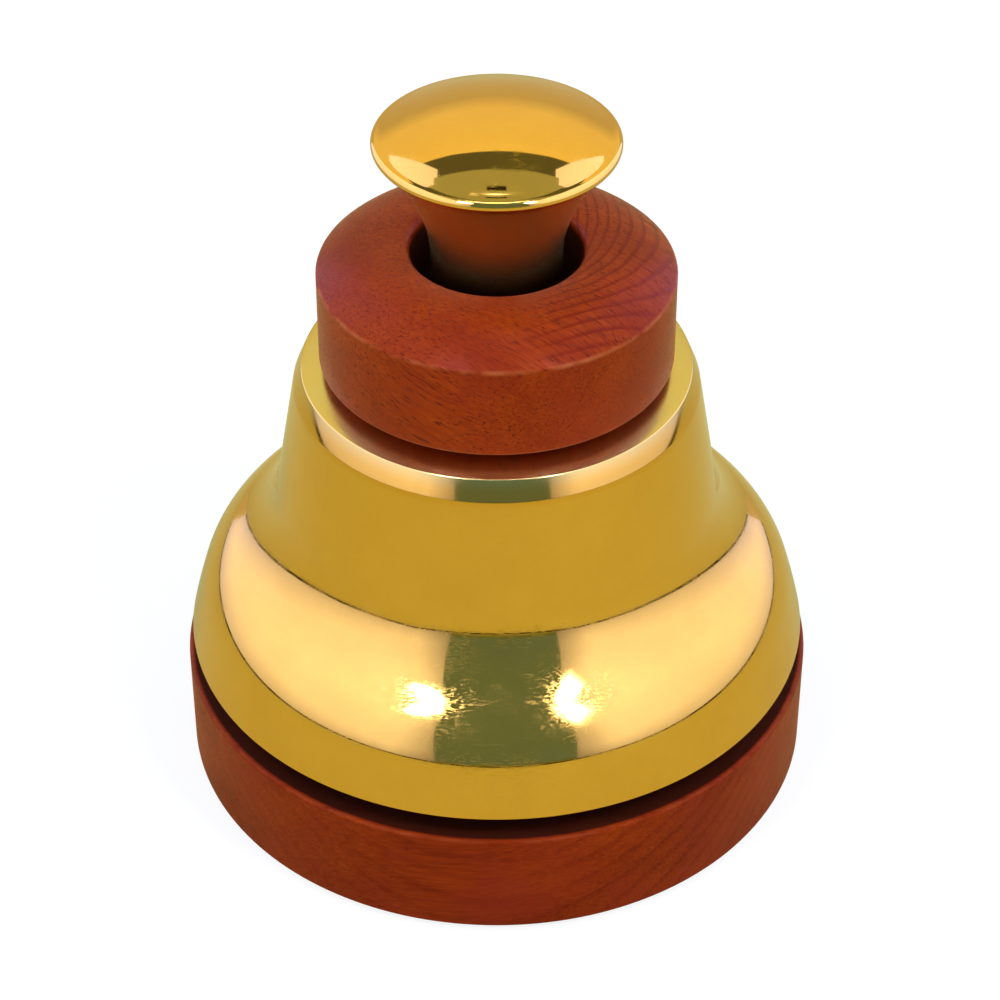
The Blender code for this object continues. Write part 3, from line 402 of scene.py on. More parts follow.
def hangCeiling():
    ceiling, down = studio["ceiling"], (0, 0, -1)
    front, back = studio["ceilingFront"], studio["ceilingBack"]
    over = evenCloth("tentCeiling", studio["ceilingCloth"], studio["ceilingLevel"])
    bright = evenCloth("tentCeilingStrip", studio["stripCloth"], studio["stripLevel"])
    dark = evenCloth("ceilingFitting", studio["darkCloth"], studio["darkLevel"])
    middle, wide = (front + back) / 2, 2 * studio["halfWidth"]
    hangCloth("tentCeiling", (0, middle, ceiling), wide, back - front, down, over)
    for name, (along, under, width, depth) in studio["fittings"].items():
        cloth = bright if "Strip" in name else dark
        hangCloth(name, (0, along, ceiling - under), width, depth, down, cloth)


def layTentHem():
    # the dark line where the cloth meets the counter
    half, front, back = studio["halfWidth"], studio["front"], studio["back"]
    line = studio["skirting"]
    depth, middle, gap = back - front, (back + front) / 2, 2 * mm
    dark = evenCloth("tentSkirting", studio["darkCloth"], studio["darkLevel"])
    hangCloth("tentSkirtingLeft", (-half + gap, middle, line / 2), depth, line, (1, 0, 0), dark)
    hangCloth("tentSkirtingRight", (half - gap, middle, line / 2), depth, line, (-1, 0, 0), dark)
    hangCloth("tentSkirtingFront", (0, front + gap, line / 2), 2 * half, line, (0, 1, 0), dark)


def addLamps():
    half, front, back = studio["halfWidth"], studio["front"], studio["back"]
    top, backTop, tilt = studio["sideTop"], studio["backTop"], studio["softTilt"]
    depth, middle = back - front, (back + front) / 2
    for name, centre, width, height, facing in (
        ("softLeft", (-half, middle, top / 2), depth, top, (1, 0, tilt)),
        ("softRight", (half, middle, top / 2), depth, top, (-1, 0, tilt)),
        ("softBack", (0, back, backTop / 2), 2 * half, backTop, (0, -1, tilt)),
        ("softFront", (0, front, top / 2), 2 * half, top, (0, 1, tilt)),
        ("softTop", (0, middle, top), 2 * half, depth, (0, 0, -1)),
    ):
        addLamp(name, centre, width, height, facing, studio[name])
    # two flash heads over the camera's shoulders
    for name, (centre, width, height) in studio["flashes"].items():
        facing = Vector(studio["flashTarget"]) - Vector(centre)
        addLamp(name, centre, width, height, facing, studio["flash"], shape="ELLIPSE")


def buildStudio():
    hangWalls()
    hangCeiling()
    layTentHem()
    addLamps()
    print("studio built")


def shownToCamera(tree, around, shown):
    # one shader for light and reflections, another for what the camera sees
    path = put(tree, "LightPath").outputs["Is Camera Ray"]
    return put(tree, "MixShader", {0: path, 1: around.outputs[0], 2: shown.outputs[0]}).outputs[0]


def buildCounter():
    deselect()
    bpy.ops.mesh.primitive_plane_add(size=studio["counterSize"], location=(0, 0, 0))
    counter = bpy.context.object
    counter.name = "counterTop"
    made = bpy.data.materials.new("paleCounter")
    tree = emptyTree(made)
    grain = noise(tree, put(tree, "TexCoord").outputs["Object"], 14, 4)
    first, second = studio["counterPaper"]
    matt = put(tree, "BsdfDiffuse", {"Color": mixColours(tree, grain, rgba(first), rgba(second))})
    # the camera sees it almost white, as a lit sweep of paper
    shown = put(tree, "BsdfDiffuse", {"Color": rgba(studio["counterShown"])})
    glow = put(tree, "Emission", {"Color": (1, 1, 1, 1), "Strength": studio["counterGlow"]})
    bright = put(tree, "AddShader", {0: shown.outputs[0], 1: glow.outputs[0]})
    put(tree, "OutputMaterial", {"Surface": shownToCamera(tree, matt, bright)})
    counter.data.materials.append(made)

    world = bpy.data.worlds.new("room")
    bpy.context.scene.world = world
    tree = emptyTree(world)
    pale = put(tree, "Background", {"Color": (1, 1, 1, 1), "Strength": studio["backdrop"]})
    dim = put(tree, "Background", {"Color": rgba(studio["room"]), "Strength": 1.0})
    put(tree, "OutputWorld", {"Surface": shownToCamera(tree, dim, pale)})
    bpy.context.scene.view_settings.view_transform = "Standard"
    print("counter and room built")


# Turned shapes


def arc(centre, radius, first, last, pieces):
    return [
        (
            centre[0] + radius * math.cos(first + (last - first) * i / pieces),
            centre[1] + radius * math.sin(first + (last - first) * i / pieces),
        )
        for i in range(pieces + 1)
    ]


def softenCorners(corners, closed=True):
    # corners are (radius, height) or, to be rounded, (radius, height, rounding)
    outline = []
    count = len(corners)
    for i, corner in enumerate(corners):
        here = Vector(corner[:2])
        atEnd = not closed and i in (0, count - 1)
        if len(corner) == 2 or atEnd:
            outline.append(tuple(here))
            continue
        back = Vector(corners[i - 1][:2]) - here
        ahead = Vector(corners[(i + 1) % count][:2]) - here
        half = back.angle(ahead) / 2
        reach = min(corner[2] / math.tan(half), 0.45 * back.length, 0.45 * ahead.length)
        middle = (back.normalized() + ahead.normalized()).normalized()
        centre = here + middle * reach / math.cos(half)
        start = here + back.normalized() * reach - centre
        turn = start.angle_signed(here + ahead.normalized() * reach - centre)
        pieces = max(2, round(abs(turn) / (12 * degree)))
        for k in range(pieces + 1):
            outline.append(tuple(centre + Matrix.Rotation(-turn * k / pieces, 2) @ start))
    return outline


def turnPiece(name, corners, steps, closed=True):
    # the outline is drawn point by point beside the axis, then spun once round it
    deselect()
    outline = softenCorners(corners, closed)
    first = outline[0]
    bpy.ops.mesh.primitive_plane_add(size=mm, location=(first[0], 0, first[1]))
    piece = bpy.context.object
    piece.name = piece.data.name = name
    bpy.ops.object.mode_set(mode="EDIT")
    selectMesh()
    bpy.ops.mesh.merge(type="CENTER")
    last = first
    for point in outline[1:] + ([first] if closed else []):
        step = (point[0] - last[0], 0, point[1] - last[1])
        bpy.ops.mesh.extrude_vertices_move(TRANSFORM_OT_translate={"value": step})
        last = point
    selectMesh()
    bpy.ops.mesh.remove_doubles(threshold=0.002 * mm)
    bpy.ops.mesh.spin(steps=steps, angle=2 * math.pi, center=(0, 0, 0), axis=(0, 0, 1))
    selectMesh()
    bpy.ops.mesh.remove_doubles(threshold=0.002 * mm)
    bpy.ops.mesh.normals_make_consistent(inside=False)
    bpy.ops.object.mode_set(mode="OBJECT")
    bpy.ops.object.transform_apply()
    bpy.ops.object.shade_smooth_by_angle(angle=35 * degree)
    return piece


def finishPiece(piece, node, body, material):
    piece.data.materials.clear()
    piece.data.materials.append(material)
    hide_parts(node)
    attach(piece, body)
    print(f"{piece.name} made, {len(piece.data.polygons)} faces")


# The bell. A slope is measured from the vertical, and the sides run as three smooth arcs

bellShape = {
    "wall": 2.2 * mm,
    "skirtSwell": 90 * mm,
    "skirtLowSlope": 12.2 * degree,
    "skirtTopSlope": 17 * degree,
    "shoulderRound": 12.9 * mm,
    "shoulderSlope": 55 * degree,
    "neckSweep": 15.8 * mm,
    "neckSlope": 9.5 * degree,
    "bevelHeight": 2.9 * mm,
    "bevelWidth": 1.2 * mm,
    "bevelRound": 0.9 * mm,
    "ridgeRound": 0.22 * mm,
    "crownRise": 1.0 * mm,
    "seatRadius": 12 * mm,
    "lipRound": 0.35 * mm,
    "steps": 192,
}


def nextArc(below, radius, upper):
    # carries on smoothly from the arc below it; a hollow one has a negative radius
    centre, oldRadius, _, joint = below
    shift = oldRadius - radius
    middle = (centre[0] + shift * math.cos(joint), centre[1] + shift * math.sin(joint))
    return middle, radius, joint, upper


def bellArcs(low, high):
    lowSlope = bellShape["skirtLowSlope"]
    swell = bellShape["skirtSwell"]
    centre = (high.x - swell * math.cos(lowSlope), low.z - swell * math.sin(lowSlope))
    skirt = (centre, swell, lowSlope, bellShape["skirtTopSlope"])
    shoulder = nextArc(skirt, bellShape["shoulderRound"], bellShape["shoulderSlope"])
    sweep = nextArc(shoulder, -bellShape["neckSweep"], bellShape["neckSlope"])
    return skirt, shoulder, sweep


def bellSide(arcs, inset, pieces):
    points = []
    for (centre, radius, lower, upper), count in zip(arcs, pieces):
        points += arc(centre, radius - inset, lower, upper, count)[1 if points else 0:]
    return points


def makeBell(material):
    low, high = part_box("bell")
    arcs = bellArcs(low, high)
    outside = bellSide(arcs, 0, (10, 30, 20))
    inside = bellSide(arcs, bellShape["wall"], (4, 12, 10))
    ridgeHeight = high.z - bellShape["crownRise"]
    footHeight = ridgeHeight - bellShape["bevelHeight"]
    footRadius = outside[-1][0] - (footHeight - outside[-1][1]) * math.tan(bellShape["neckSlope"])
    ridgeRadius = footRadius - bellShape["bevelWidth"]
    seat = bellShape["seatRadius"]
    crown = []
    for i in range(14):
        share = i / 14
        crown.append((seat + (ridgeRadius - seat) * share, high.z - bellShape["crownRise"] * share**2))
    neckTop = high.z - bellShape["wall"]
    wallAcross = bellShape["wall"] / math.cos(bellShape["neckSlope"])
    innerNeck = footRadius - wallAcross - (neckTop - footHeight) * math.tan(bellShape["neckSlope"])
    innerLip = inside[0][0] - (low.z - inside[0][1]) * math.tan(bellShape["skirtLowSlope"])
    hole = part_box("hollow_post")[1].x + clearance
    lip = bellShape["lipRound"]
    corners = [
        (hole, high.z, 0.2 * mm),
        *crown,
        (ridgeRadius, ridgeHeight, bellShape["ridgeRound"]),
        (footRadius, footHeight, bellShape["bevelRound"]),
        *reversed(outside[1:]),
        (high.x, low.z, lip),
        (innerLip, low.z, lip),
        *inside[1:],
        (innerNeck, neckTop, 2 * mm),
        (hole, neckTop, 0.2 * mm),
    ]
    bell = turnPiece("brassBell", corners, bellShape["steps"])
    finishPiece(bell, "bell", "stand", material)


# The knob, turned from one bar: domed cap, thin rim, flare and a hollow stem

knobShape = {
    "rimRound": 0.8 * mm,
    "undercut": 0.3 * mm,
    "domeRise": 3.4 * mm,
    "domePower": 2.2,
    "flareHeight": 15.4 * mm,
    "flarePower": 1.7,
    "stemRadius": 8.9 * mm,
    "stemStraight": 7.5 * mm,
    "cavityRadius": 6.6 * mm,
    "cavityDepth": 15.7 * mm,
    "steps": 160,
}


def makeKnob(material):
    low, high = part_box("knob")
    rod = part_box("plunger_rod")[1]
    rim = knobShape["rimRound"]
    stem = knobShape["stemRadius"]
    flareBottom = low.z + knobShape["stemStraight"]
    flareTop = flareBottom + knobShape["flareHeight"]
    rimMiddle = high.x - rim
    rimHeight = flareTop + rim
    dome = []
    for i in range(36):
        share = i / 36
        rise = knobShape["domeRise"] * (1 - share ** knobShape["domePower"])
        dome.append((rimMiddle * share, rimHeight + rim + rise))
    edge = arc((rimMiddle, rimHeight), rim, 82 * degree, -75 * degree, 14)
    flare = []
    for i in range(25):
        share = 1 - i / 24
        width = (rimMiddle - knobShape["undercut"] - stem) * share ** knobShape["flarePower"]
        flare.append((stem + width, flareBottom + knobShape["flareHeight"] * share))
    ceiling = low.z + knobShape["cavityDepth"]
    corners = [
        *dome,
        *edge,
        *flare,
        (stem, low.z, 0.4 * mm),
        (knobShape["cavityRadius"], low.z, 0.4 * mm),
        (knobShape["cavityRadius"], ceiling, 0.3 * mm),
        (rod.x + clearance, ceiling, 0.2 * mm),
        (rod.x + clearance, rod.z + clearance),
        (0, rod.z + clearance),
    ]
    knob = turnPiece("brassKnob", corners, knobShape["steps"], closed=False)
    finishPiece(knob, "knob", "knob", material)


# The wooden base, with a recess above for the steel plate and one below for the felt

baseShape = {
    "edgeRound": 0.7 * mm,
    "steps": 192,
    "screwGap": 0.4 * mm,
    "plateShank": 1.5 * mm,
    "bridgeShank": 1.7 * mm,
}


def cutHoles(piece, cutter):
    # one Boolean with the cutter, which is then removed
    deselect()
    piece.select_set(True)
    bpy.context.view_layer.objects.active = piece
    hole = piece.modifiers.new("holes", "BOOLEAN")
    hole.operation = "DIFFERENCE"
    hole.solver = "EXACT"
    hole.object = cutter
    bpy.ops.object.modifier_apply(modifier=hole.name)
    bpy.data.objects.remove(cutter)
    bpy.ops.object.shade_smooth_by_angle(angle=35 * degree)


def makeBase(material):
    low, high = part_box("wooden_base")
    plateLow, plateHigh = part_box("mounting_plate")
    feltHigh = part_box("base_felt_pad")[1]
    edge = baseShape["edgeRound"]
    floor = plateLow.z - clearance
    ceiling = feltHigh.z + clearance
    corners = [
        (0, floor),
        (plateHigh.x + clearance, floor),
        (plateHigh.x + clearance, high.z, 0.2 * mm),
        (high.x, high.z, edge),
        (high.x, low.z, edge),
        (feltHigh.x + clearance, low.z, 0.3 * mm),
        (feltHigh.x + clearance, ceiling),
        (0, ceiling),
    ]
    base = turnPiece("woodenBase", corners, baseShape["steps"], closed=False)
    deselect()
    gap = baseShape["screwGap"]
    screws = dict.fromkeys(("plate_screw_1", "plate_screw_2", "plate_screw_3"), baseShape["plateShank"])
    screws.update(dict.fromkeys(("bridge_screw_front", "bridge_screw_rear"), baseShape["bridgeShank"]))
    for node, shank in screws.items():
        screwLow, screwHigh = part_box(node)
        centre = (screwLow + screwHigh) / 2
        depth = high.z - screwLow.z + gap
        place = (centre.x, centre.y, high.z - depth / 2)
        bpy.ops.mesh.primitive_cylinder_add(vertices=32, radius=shank + gap, depth=depth, location=place)
        bpy.context.object.select_set(True)
        bpy.context.object.name = "screwHole_" + node
    holes = [item for item in bpy.data.objects if item.name.startswith("screwHole_")]
    for item in holes:
        item.select_set(True)
    bpy.context.view_layer.objects.active = holes[0]
    bpy.ops.object.join()
    cutHoles(base, holes[0])
    finishPiece(base, "wooden_base", "stand", material)


# The wooden collar: a thick ring with a domed top, bored out for the knob's stem

collarShape = {
    "side": 13.2 * mm,
    "edgeRound": 0.35 * mm,
    "topRound": 14.6 * mm,
    "topApex": 14.3 * mm,
    "hole": 11.7 * mm,
    "holeRound": 1.2 * mm,
    "floor": 4.5 * mm,
    "sink": 0.5 * mm,
    "steps": 160,
}


def makeCollar(material):
    low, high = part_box("wooden_collar")
    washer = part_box("upper_bell_washer")[1]
    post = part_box("hollow_post")[1]
    shoulder = low.z + collarShape["side"]
    drop = math.sqrt(collarShape["topRound"] ** 2 - (high.x - collarShape["topApex"]) ** 2)
    first = collarShape["hole"] + collarShape["holeRound"]
    edge = high.x
    top = []
    for i in range(25):
        radius = first + (edge - first) * i / 24
        bulge = math.sqrt(collarShape["topRound"] ** 2 - (radius - collarShape["topApex"]) ** 2)
        top.append((radius, shoulder - drop + bulge))
    holeRound = collarShape["holeRound"]
    mouth = arc((first, top[0][1] - holeRound), holeRound, 180 * degree, 90 * degree, 8)
    sinkCeiling = low.z + collarShape["sink"]
    counterbore = sinkCeiling + collarShape["floor"]
    corners = [
        *mouth[:-1],
        *top[:-1],
        (*top[-1], collarShape["edgeRound"]),
        (high.x, low.z, collarShape["edgeRound"]),
        (washer.x + 2 * clearance, low.z),
        (washer.x + 2 * clearance, sinkCeiling),
        (post.x + clearance, sinkCeiling),
        (post.x + clearance, counterbore),
        (collarShape["hole"], counterbore),
    ]
    collar = turnPiece("woodenCollar", corners, collarShape["steps"])
    finishPiece(collar, "wooden_collar", "stand", material)


# The felt under the base

feltShape = {"edgeRound": 0.5 * mm, "steps": 128, "rings": 14}


def makeFelt(material):
    low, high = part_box("base_felt_pad")
    edge = feltShape["edgeRound"]
    rings = feltShape["rings"]
    across = [high.x * i / rings for i in range(1, rings)]
    corners = [
        (0, high.z),
        *[(radius, high.z) for radius in across],
        (high.x, high.z, edge),
        (high.x, low.z, edge),
        *[(radius, low.z) for radius in reversed(across)],
        (0, low.z),
    ]
    felt = turnPiece("feltPad", corners, feltShape["steps"], closed=False)
    finishPiece(felt, "base_felt_pad", "stand", material)


# The return spring, wound close at each end

springShape = {
    "wire": 0.45 * mm,
    "turns": 6.5,
    "closeTurns": 1.0,  # wound close at each end
    "closeGap": 0.225 * mm,
    "stepsPerTurn": 48,
    "wireSides": 14,
}


def springHeight(turn, low, high):
    # the middle of the wire after so many turns
    step = 2 * springShape["wire"] + springShape["closeGap"]
    close = springShape["closeTurns"]
    openTurns = springShape["turns"] - 2 * close
    bottom, top = low + springShape["wire"], high - springShape["wire"]
    pitch = (top - bottom - 2 * close * step) / openTurns
    closed = min(turn, close) + max(turn - close - openTurns, 0)
    return bottom + closed * step + (turn - closed) * pitch


def makeSpring(material):
    low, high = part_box("return_spring")
    tall = high.z - low.z
    wire, turns, sides = springShape["wire"], springShape["turns"], springShape["wireSides"]
    middle = (high.x - low.x) / 2 - wire
    deselect()
    bpy.ops.mesh.primitive_circle_add(
        vertices=sides, radius=wire, location=(middle, 0, 0), rotation=(90 * degree, 0, 0)
    )
    spring = bpy.context.object
    spring.name = "returnSpring"
    bpy.ops.object.transform_apply()
    count = round(turns * springShape["stepsPerTurn"])
    winding = spring.modifiers.new("winding", "SCREW")
    winding.angle = 2 * math.pi * turns
    winding.screw_offset = tall
    winding.steps = winding.render_steps = count
    bpy.ops.object.modifier_apply(modifier=winding.name)
    # the winding is even so far: its ends are drawn together
    for index, vertex in enumerate(spring.data.vertices):
        turn = (index // sides) * turns / count
        vertex.co.z += springHeight(turn, low.z, high.z) - tall * turn / turns
    bpy.ops.object.mode_set(mode="EDIT")
    selectMesh()
    bpy.ops.mesh.fill_holes(sides=0)
    selectMesh()
    bpy.ops.mesh.normals_make_consistent(inside=False)
    bpy.ops.object.mode_set(mode="OBJECT")
    bpy.ops.object.shade_smooth_by_angle(angle=50 * degree)
    finishPiece(spring, "return_spring", "stand", material)
    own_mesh(spring)


# Shared effects, as node groups


hairlines = {
    "curlScale": 95.0,
    "curl": (2.2 * mm, 2.2 * mm, 2.2 * mm),
    "turns": ((0.3, 0.2, 0.5), (1.2, 0.7, 2.1), (2.0, 0.4, 1.1)),
    "fineness": (300, 7800, 5200),
    "thin": (0.57, 0.68),
    "patchFineness": (130, 130, 130),
    "patchEdge": (0.42, 0.60),
}


def scratchGroup():
    # fine hairlines in three directions, slightly curved, in patches
    inputs = {"Place": "Vector", "Size": 1.0, "Amount": 0.5, "Cover": 0.5}
    tree, given, leave = newGroup("hairlineScratches", inputs, {"Height": "Float", "Mask": "Float"})
    sized = put(tree, "VectorMath", {0: given["Place"], 3: given["Size"]}, operation="SCALE").outputs[0]
    curl = {"Vector": sized, "Scale": hairlines["curlScale"], "Detail": 1.0}
    curl = put(tree, "TexNoise", curl).outputs["Color"]
    curved = {0: curl, 1: hairlines["curl"], 2: sized}
    bent = put(tree, "VectorMath", curved, operation="MULTIPLY_ADD").outputs[0]
    more = minus(tree, given["Cover"], 0.5)
    lines = None
    for turn in hairlines["turns"]:
        turned = {"Vector": bent, "Rotation": turn, "Scale": hairlines["fineness"]}
        line = noise(tree, put(tree, "Mapping", turned).outputs[0], 1.0, 1.0, 0.4)
        moved = {"Vector": sized, "Location": turn, "Scale": hairlines["patchFineness"]}
        patch = sums(tree, "ADD", noise(tree, put(tree, "Mapping", moved).outputs[0], 1.0, 2.0), more)
        patch = spread(tree, patch, *hairlines["patchEdge"])
        here = times(tree, spread(tree, line, *hairlines["thin"]), patch)
        lines = here if lines is None else sums(tree, "MAXIMUM", lines, here)
    mask = times(tree, lines, given["Amount"])
    feed(tree, leave, {"Height": minus(tree, 1.0, mask), "Mask": mask})
    return tree


def bandGroup():
    # 1 between two heights, with soft ends: for dull, dark or rubbed places on a turned piece
    inputs = {"Place": "Vector", "Low": 0.0, "High": 1.0, "Soft": 0.001}
    tree, given, leave = newGroup("heightBand", inputs, {"Mask": "Float"})
    height = axes(tree, given["Place"])["Z"]
    rising = sums(tree, "DIVIDE", minus(tree, height, given["Low"]), given["Soft"])
    falling = sums(tree, "DIVIDE", minus(tree, given["High"], height), given["Soft"])
    lowest = sums(tree, "MINIMUM", rising, falling)
    feed(tree, leave, {"Mask": spread(tree, lowest, -0.5, 0.5, kind="SMOOTHSTEP")})
    return tree


def reachGroup():
    # 1 within a distance from the axis, with a soft end
    inputs = {"Place": "Vector", "Radius": 0.01, "Soft": 0.001}
    tree, given, leave = newGroup("axisReach", inputs, {"Mask": "Float"})
    parts = axes(tree, given["Place"])
    inside = minus(tree, given["Radius"], lengthOf(tree, parts["X"], parts["Y"]))
    share = sums(tree, "DIVIDE", inside, given["Soft"])
    feed(tree, leave, {"Mask": spread(tree, share, -0.5, 0.5, kind="SMOOTHSTEP")})
    return tree


# noise that breaks up the lighter edge line, which is painted highlight together with rubbed stain
edgeWearAndHighlight = {"scale": 320, "wornAndHighlit": (0.35, 0.62)}


def edgeGroup():
    # 1 along the round edge of a turned piece, fading over a small width and broken up by noise; the
    # wood takes a lighter colour there, painted highlight together with rubbed stain
    inputs = {"Place": "Vector", "Radius": 0.01, "Height": 0.01, "Width": 0.0005}
    tree, given, leave = newGroup("roundEdge", inputs, {"Mask": "Float"})
    parts = axes(tree, given["Place"])
    out = minus(tree, lengthOf(tree, parts["X"], parts["Y"]), given["Radius"])
    up = minus(tree, parts["Z"], given["Height"])
    away = sums(tree, "DIVIDE", lengthOf(tree, out, up), given["Width"])
    near = put(tree, "Clamp", {0: minus(tree, 1.0, away)}).outputs[0]
    wearAndHighlight = spread(tree, noise(tree, given["Place"], edgeWearAndHighlight["scale"]), *edgeWearAndHighlight["wornAndHighlit"])
    feed(tree, leave, {"Mask": times(tree, near, wearAndHighlight)})
    return tree


def turningGroup():
    # rings round the axis, as a lathe tool and a polishing cloth leave them
    inputs = {"Place": "Vector", "Fineness": 4000.0}
    tree, given, leave = newGroup("turningMarks", inputs, {"Height": "Float"})
    parts = axes(tree, given["Place"])
    drift = times(tree, noise(tree, given["Place"], 40, 1), 0.6 * mm)
    lane = {0: lengthOf(tree, parts["X"], parts["Y"]), 1: drift, 2: parts["Z"]}
    lane = put(tree, "CombineXYZ", lane).outputs[0]
    feed(tree, leave, {"Height": noise(tree, lane, given["Fineness"], 3.0, 0.6)})
    return tree


woodGrain = {
    # how fine each pattern is along and across the grain
    "swayFineness": (30, 70, 70),
    "fibreFineness": (110, 2600, 2600),
    "patchFineness": (35, 90, 90),
    "fleckFineness": (360, 6000, 4200),
    "sway": 2.2 * mm,
    # a ring darkens slowly between these shares of its width, then ends sharply
    "ringDark": (0.50, 0.92),
    "patchMiddle": 0.45,
    "patchAmount": 1.5,
    "fleckEdge": (0.59, 0.67),
    "poreAmount": 0.6,
}


def woodGroup():
    # a solid block of wood whose grain runs along X: growth rings, fine fibres and short dark rays
    inputs = {"Place": "Vector", "Early": "Color", "Late": "Color", "Fleck": "Color"}
    inputs.update({"Ring Scale": 260.0, "Ring Amount": 0.6, "Taper": 0.4})
    inputs.update({"Fibre Amount": 0.4, "Fleck Amount": 0.8})
    outputs = {"Color": "Color", "Height": "Float", "Pores": "Float"}
    tree, given, leave = newGroup("woodFigure", inputs, outputs)
    place = given["Place"]
    # growth rings, a little wavy, round a heart that runs along X and narrows
    sway = noise(tree, stretch(tree, place, woodGrain["swayFineness"]), 1.0)
    parts = axes(tree, place)
    heart = timesPlus(tree, parts["X"], given["Taper"], lengthOf(tree, parts["Y"], parts["Z"]))
    wavy = timesPlus(tree, sway, woodGrain["sway"], heart)
    rings = sums(tree, "FRACT", times(tree, wavy, given["Ring Scale"]))
    rise = spread(tree, rings, *woodGrain["ringDark"], kind="SMOOTHSTEP")
    fall = spread(tree, rings, woodGrain["ringDark"][1], 1.0, 1.0, 0.0)
    late = times(tree, times(tree, rise, fall), given["Ring Amount"])
    # fibres, and broad lighter and darker patches
    fibre = noise(tree, stretch(tree, place, woodGrain["fibreFineness"]), 1.0, 4.0, 0.65)
    patch = noise(tree, stretch(tree, place, woodGrain["patchFineness"]), 1.0, 3.0, 0.6)
    tone = timesPlus(tree, spread(tree, fibre, 0.30, 0.70), given["Fibre Amount"], late)
    patch = minus(tree, patch, woodGrain["patchMiddle"])
    tone = timesPlus(tree, patch, woodGrain["patchAmount"], tone)
    colour = mixColours(tree, put(tree, "Clamp", {0: tone}).outputs[0], given["Early"], given["Late"])
    # short dark rays and pores
    flecks = noise(tree, stretch(tree, place, woodGrain["fleckFineness"]), 1.0, 1.0, 0.4, 0.3)
    fleckMask = times(tree, spread(tree, flecks, *woodGrain["fleckEdge"]), given["Fleck Amount"])
    pores = times(tree, spread(tree, fibre, 0.58, 0.72), woodGrain["poreAmount"])
    pores = sums(tree, "MAXIMUM", fleckMask, pores)
    colour = mixColours(tree, fleckMask, colour, given["Fleck"])
    feed(tree, leave, {"Color": colour, "Height": minus(tree, 1.0, pores), "Pores": pores})
    return tree


# Finishes


def placeMask(tree, place, wanted, groups):
    # 1 in a band of heights and, where a reach is given, only that near the axis
    heights = {"Place": place, "Low": wanted["low"], "High": wanted["high"], "Soft": wanted["soft"]}
    mask = useGroup(tree, groups["band"], heights)[0]
    if "reach" not in wanted:
        return mask
    near = {"Place": place, "Radius": wanted["reach"], "Soft": wanted["soft"]}
    return times(tree, mask, useGroup(tree, groups["reach"], near)[0])


def polishedBrass(name, finish, groups):
    made, tree, shader, place = newMaterial(name)
    wanted = {"Place": place, "Size": finish["scratchSize"], "Cover": finish["scratchCover"]}
    scratches = useGroup(tree, groups["scratches"], dict(wanted, Amount=finish["scratchAmount"]))
    fineness = finish["turningFineness"]
    marks = useGroup(tree, groups["turning"], {"Place": place, "Fineness": fineness})
    wave = noise(tree, place, finish["waveScale"], 2.0, 0.45)
    haze = noise(tree, place, finish["hazeScale"], 4.0, 0.65)
    streaks = noise(tree, stretch(tree, place, finish["streakFineness"]), 1.0, 4.0, 0.7)
    mottle = noise(tree, place, finish["mottleScale"], 4.0, 0.6)
    mottled = times(tree, spread(tree, mottle, 0.35, 0.75), finish["mottleShare"])
    mottled = timesPlus(tree, streaks, finish["streakShare"], mottled)
    share = times(tree, mottled, finish["mottle"])
    colour = mixColours(tree, share, rgba(finish["colour"]), rgba(finish["tarnish"]))
    rough = timesPlus(tree, haze, finish["haze"], finish["roughness"])
    rough = timesPlus(tree, scratches["Mask"], finish["scratchRoughness"], rough)
    # each band has its own colour; on the knob's stem foot that colour is painted shade over a greenish
    # tarnish
    for band in finish["dullBands"]:
        mask = placeMask(tree, place, band, groups)
        rough = timesPlus(tree, mask, minus(tree, band["roughness"], rough), rough)
        uneven = times(tree, mask, spread(tree, mottle, 0.3, 0.6, 0.75))
        colour = mixColours(tree, times(tree, uneven, band["darker"]), colour, rgba(band["colour"]))
    relief = bumps(tree, wave, finish["waveDepth"])
    relief = bumps(tree, marks["Height"], finish["turningDepth"], relief)
    relief = bumps(tree, scratches["Height"], finish["scratchDepth"], relief)
    feed(tree, shader, {"Base Color": colour, "Roughness": rough, "Normal": relief, "Metallic": 1.0})
    feed(tree, shader, {"Coat Weight": finish["lacquer"], "Coat Roughness": finish["lacquerRoughness"]})
    return made


def above(node, share):
    # a height within a node of the frame, from its foot at 0 to its top at 1
    low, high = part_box(node)
    return low.z + (high.z - low.z) * share


def spot(node, low, high, soft, **more):
    # a place on a turned piece, between two shares of a node's height
    return dict(more, low=above(node, low), high=above(node, high), soft=soft)


bellFinish = {
    "colour": (0.86, 0.48, 0.070),
    "tarnish": (0.70, 0.35, 0.042),
    "mottle": 0.42,
    "mottleScale": 130,
    "mottleShare": 0.6,
    "streakShare": 0.55,
    "streakFineness": (1700, 1700, 130),
    "roughness": 0.02,
    "haze": 0.05,
    "hazeScale": 900,
    "lacquer": 0.25,
    "lacquerRoughness": 0.03,
    "waveScale": 62,
    "waveDepth": 0.045 * mm,
    "turningFineness": 5200.0,
    "turningDepth": 0.00015 * mm,
    "scratchSize": 1.45,
    "scratchAmount": 1.0,
    "scratchCover": 0.5,
    "scratchRoughness": 0.22,
    "scratchDepth": 0.0012 * mm,
    # the crown under the collar is less well polished than the sides
    "dullBands": [
        spot("bell", 0.90, 1.1, 1.0 * mm, roughness=0.07, darker=0.6, colour=(0.78, 0.38, 0.035)),
        spot(
            "bell", 0.915, 1.1, 1.5 * mm,
            reach=27 * mm, roughness=0.24, darker=0.7, colour=(0.64, 0.60, 0.22),
        ),
    ],
}

knobFinish = dict(
    bellFinish,
    waveScale=110,
    waveDepth=0.03 * mm,
    scratchCover=0.35,
    # the flare is dull, and the stem's foot, down in the collar's bore, is darker: painted shade from
    # the dark bore over a greenish tarnish
    dullBands=[
        spot("knob", -0.1, 0.80, 3 * mm, roughness=0.27, darker=0.9, colour=(0.80, 0.76, 0.28)),
        spot("knob", -0.1, 0.24, 4 * mm, roughness=0.20, darker=0.8, colour=(0.20, 0.24, 0.10)),
    ],
)

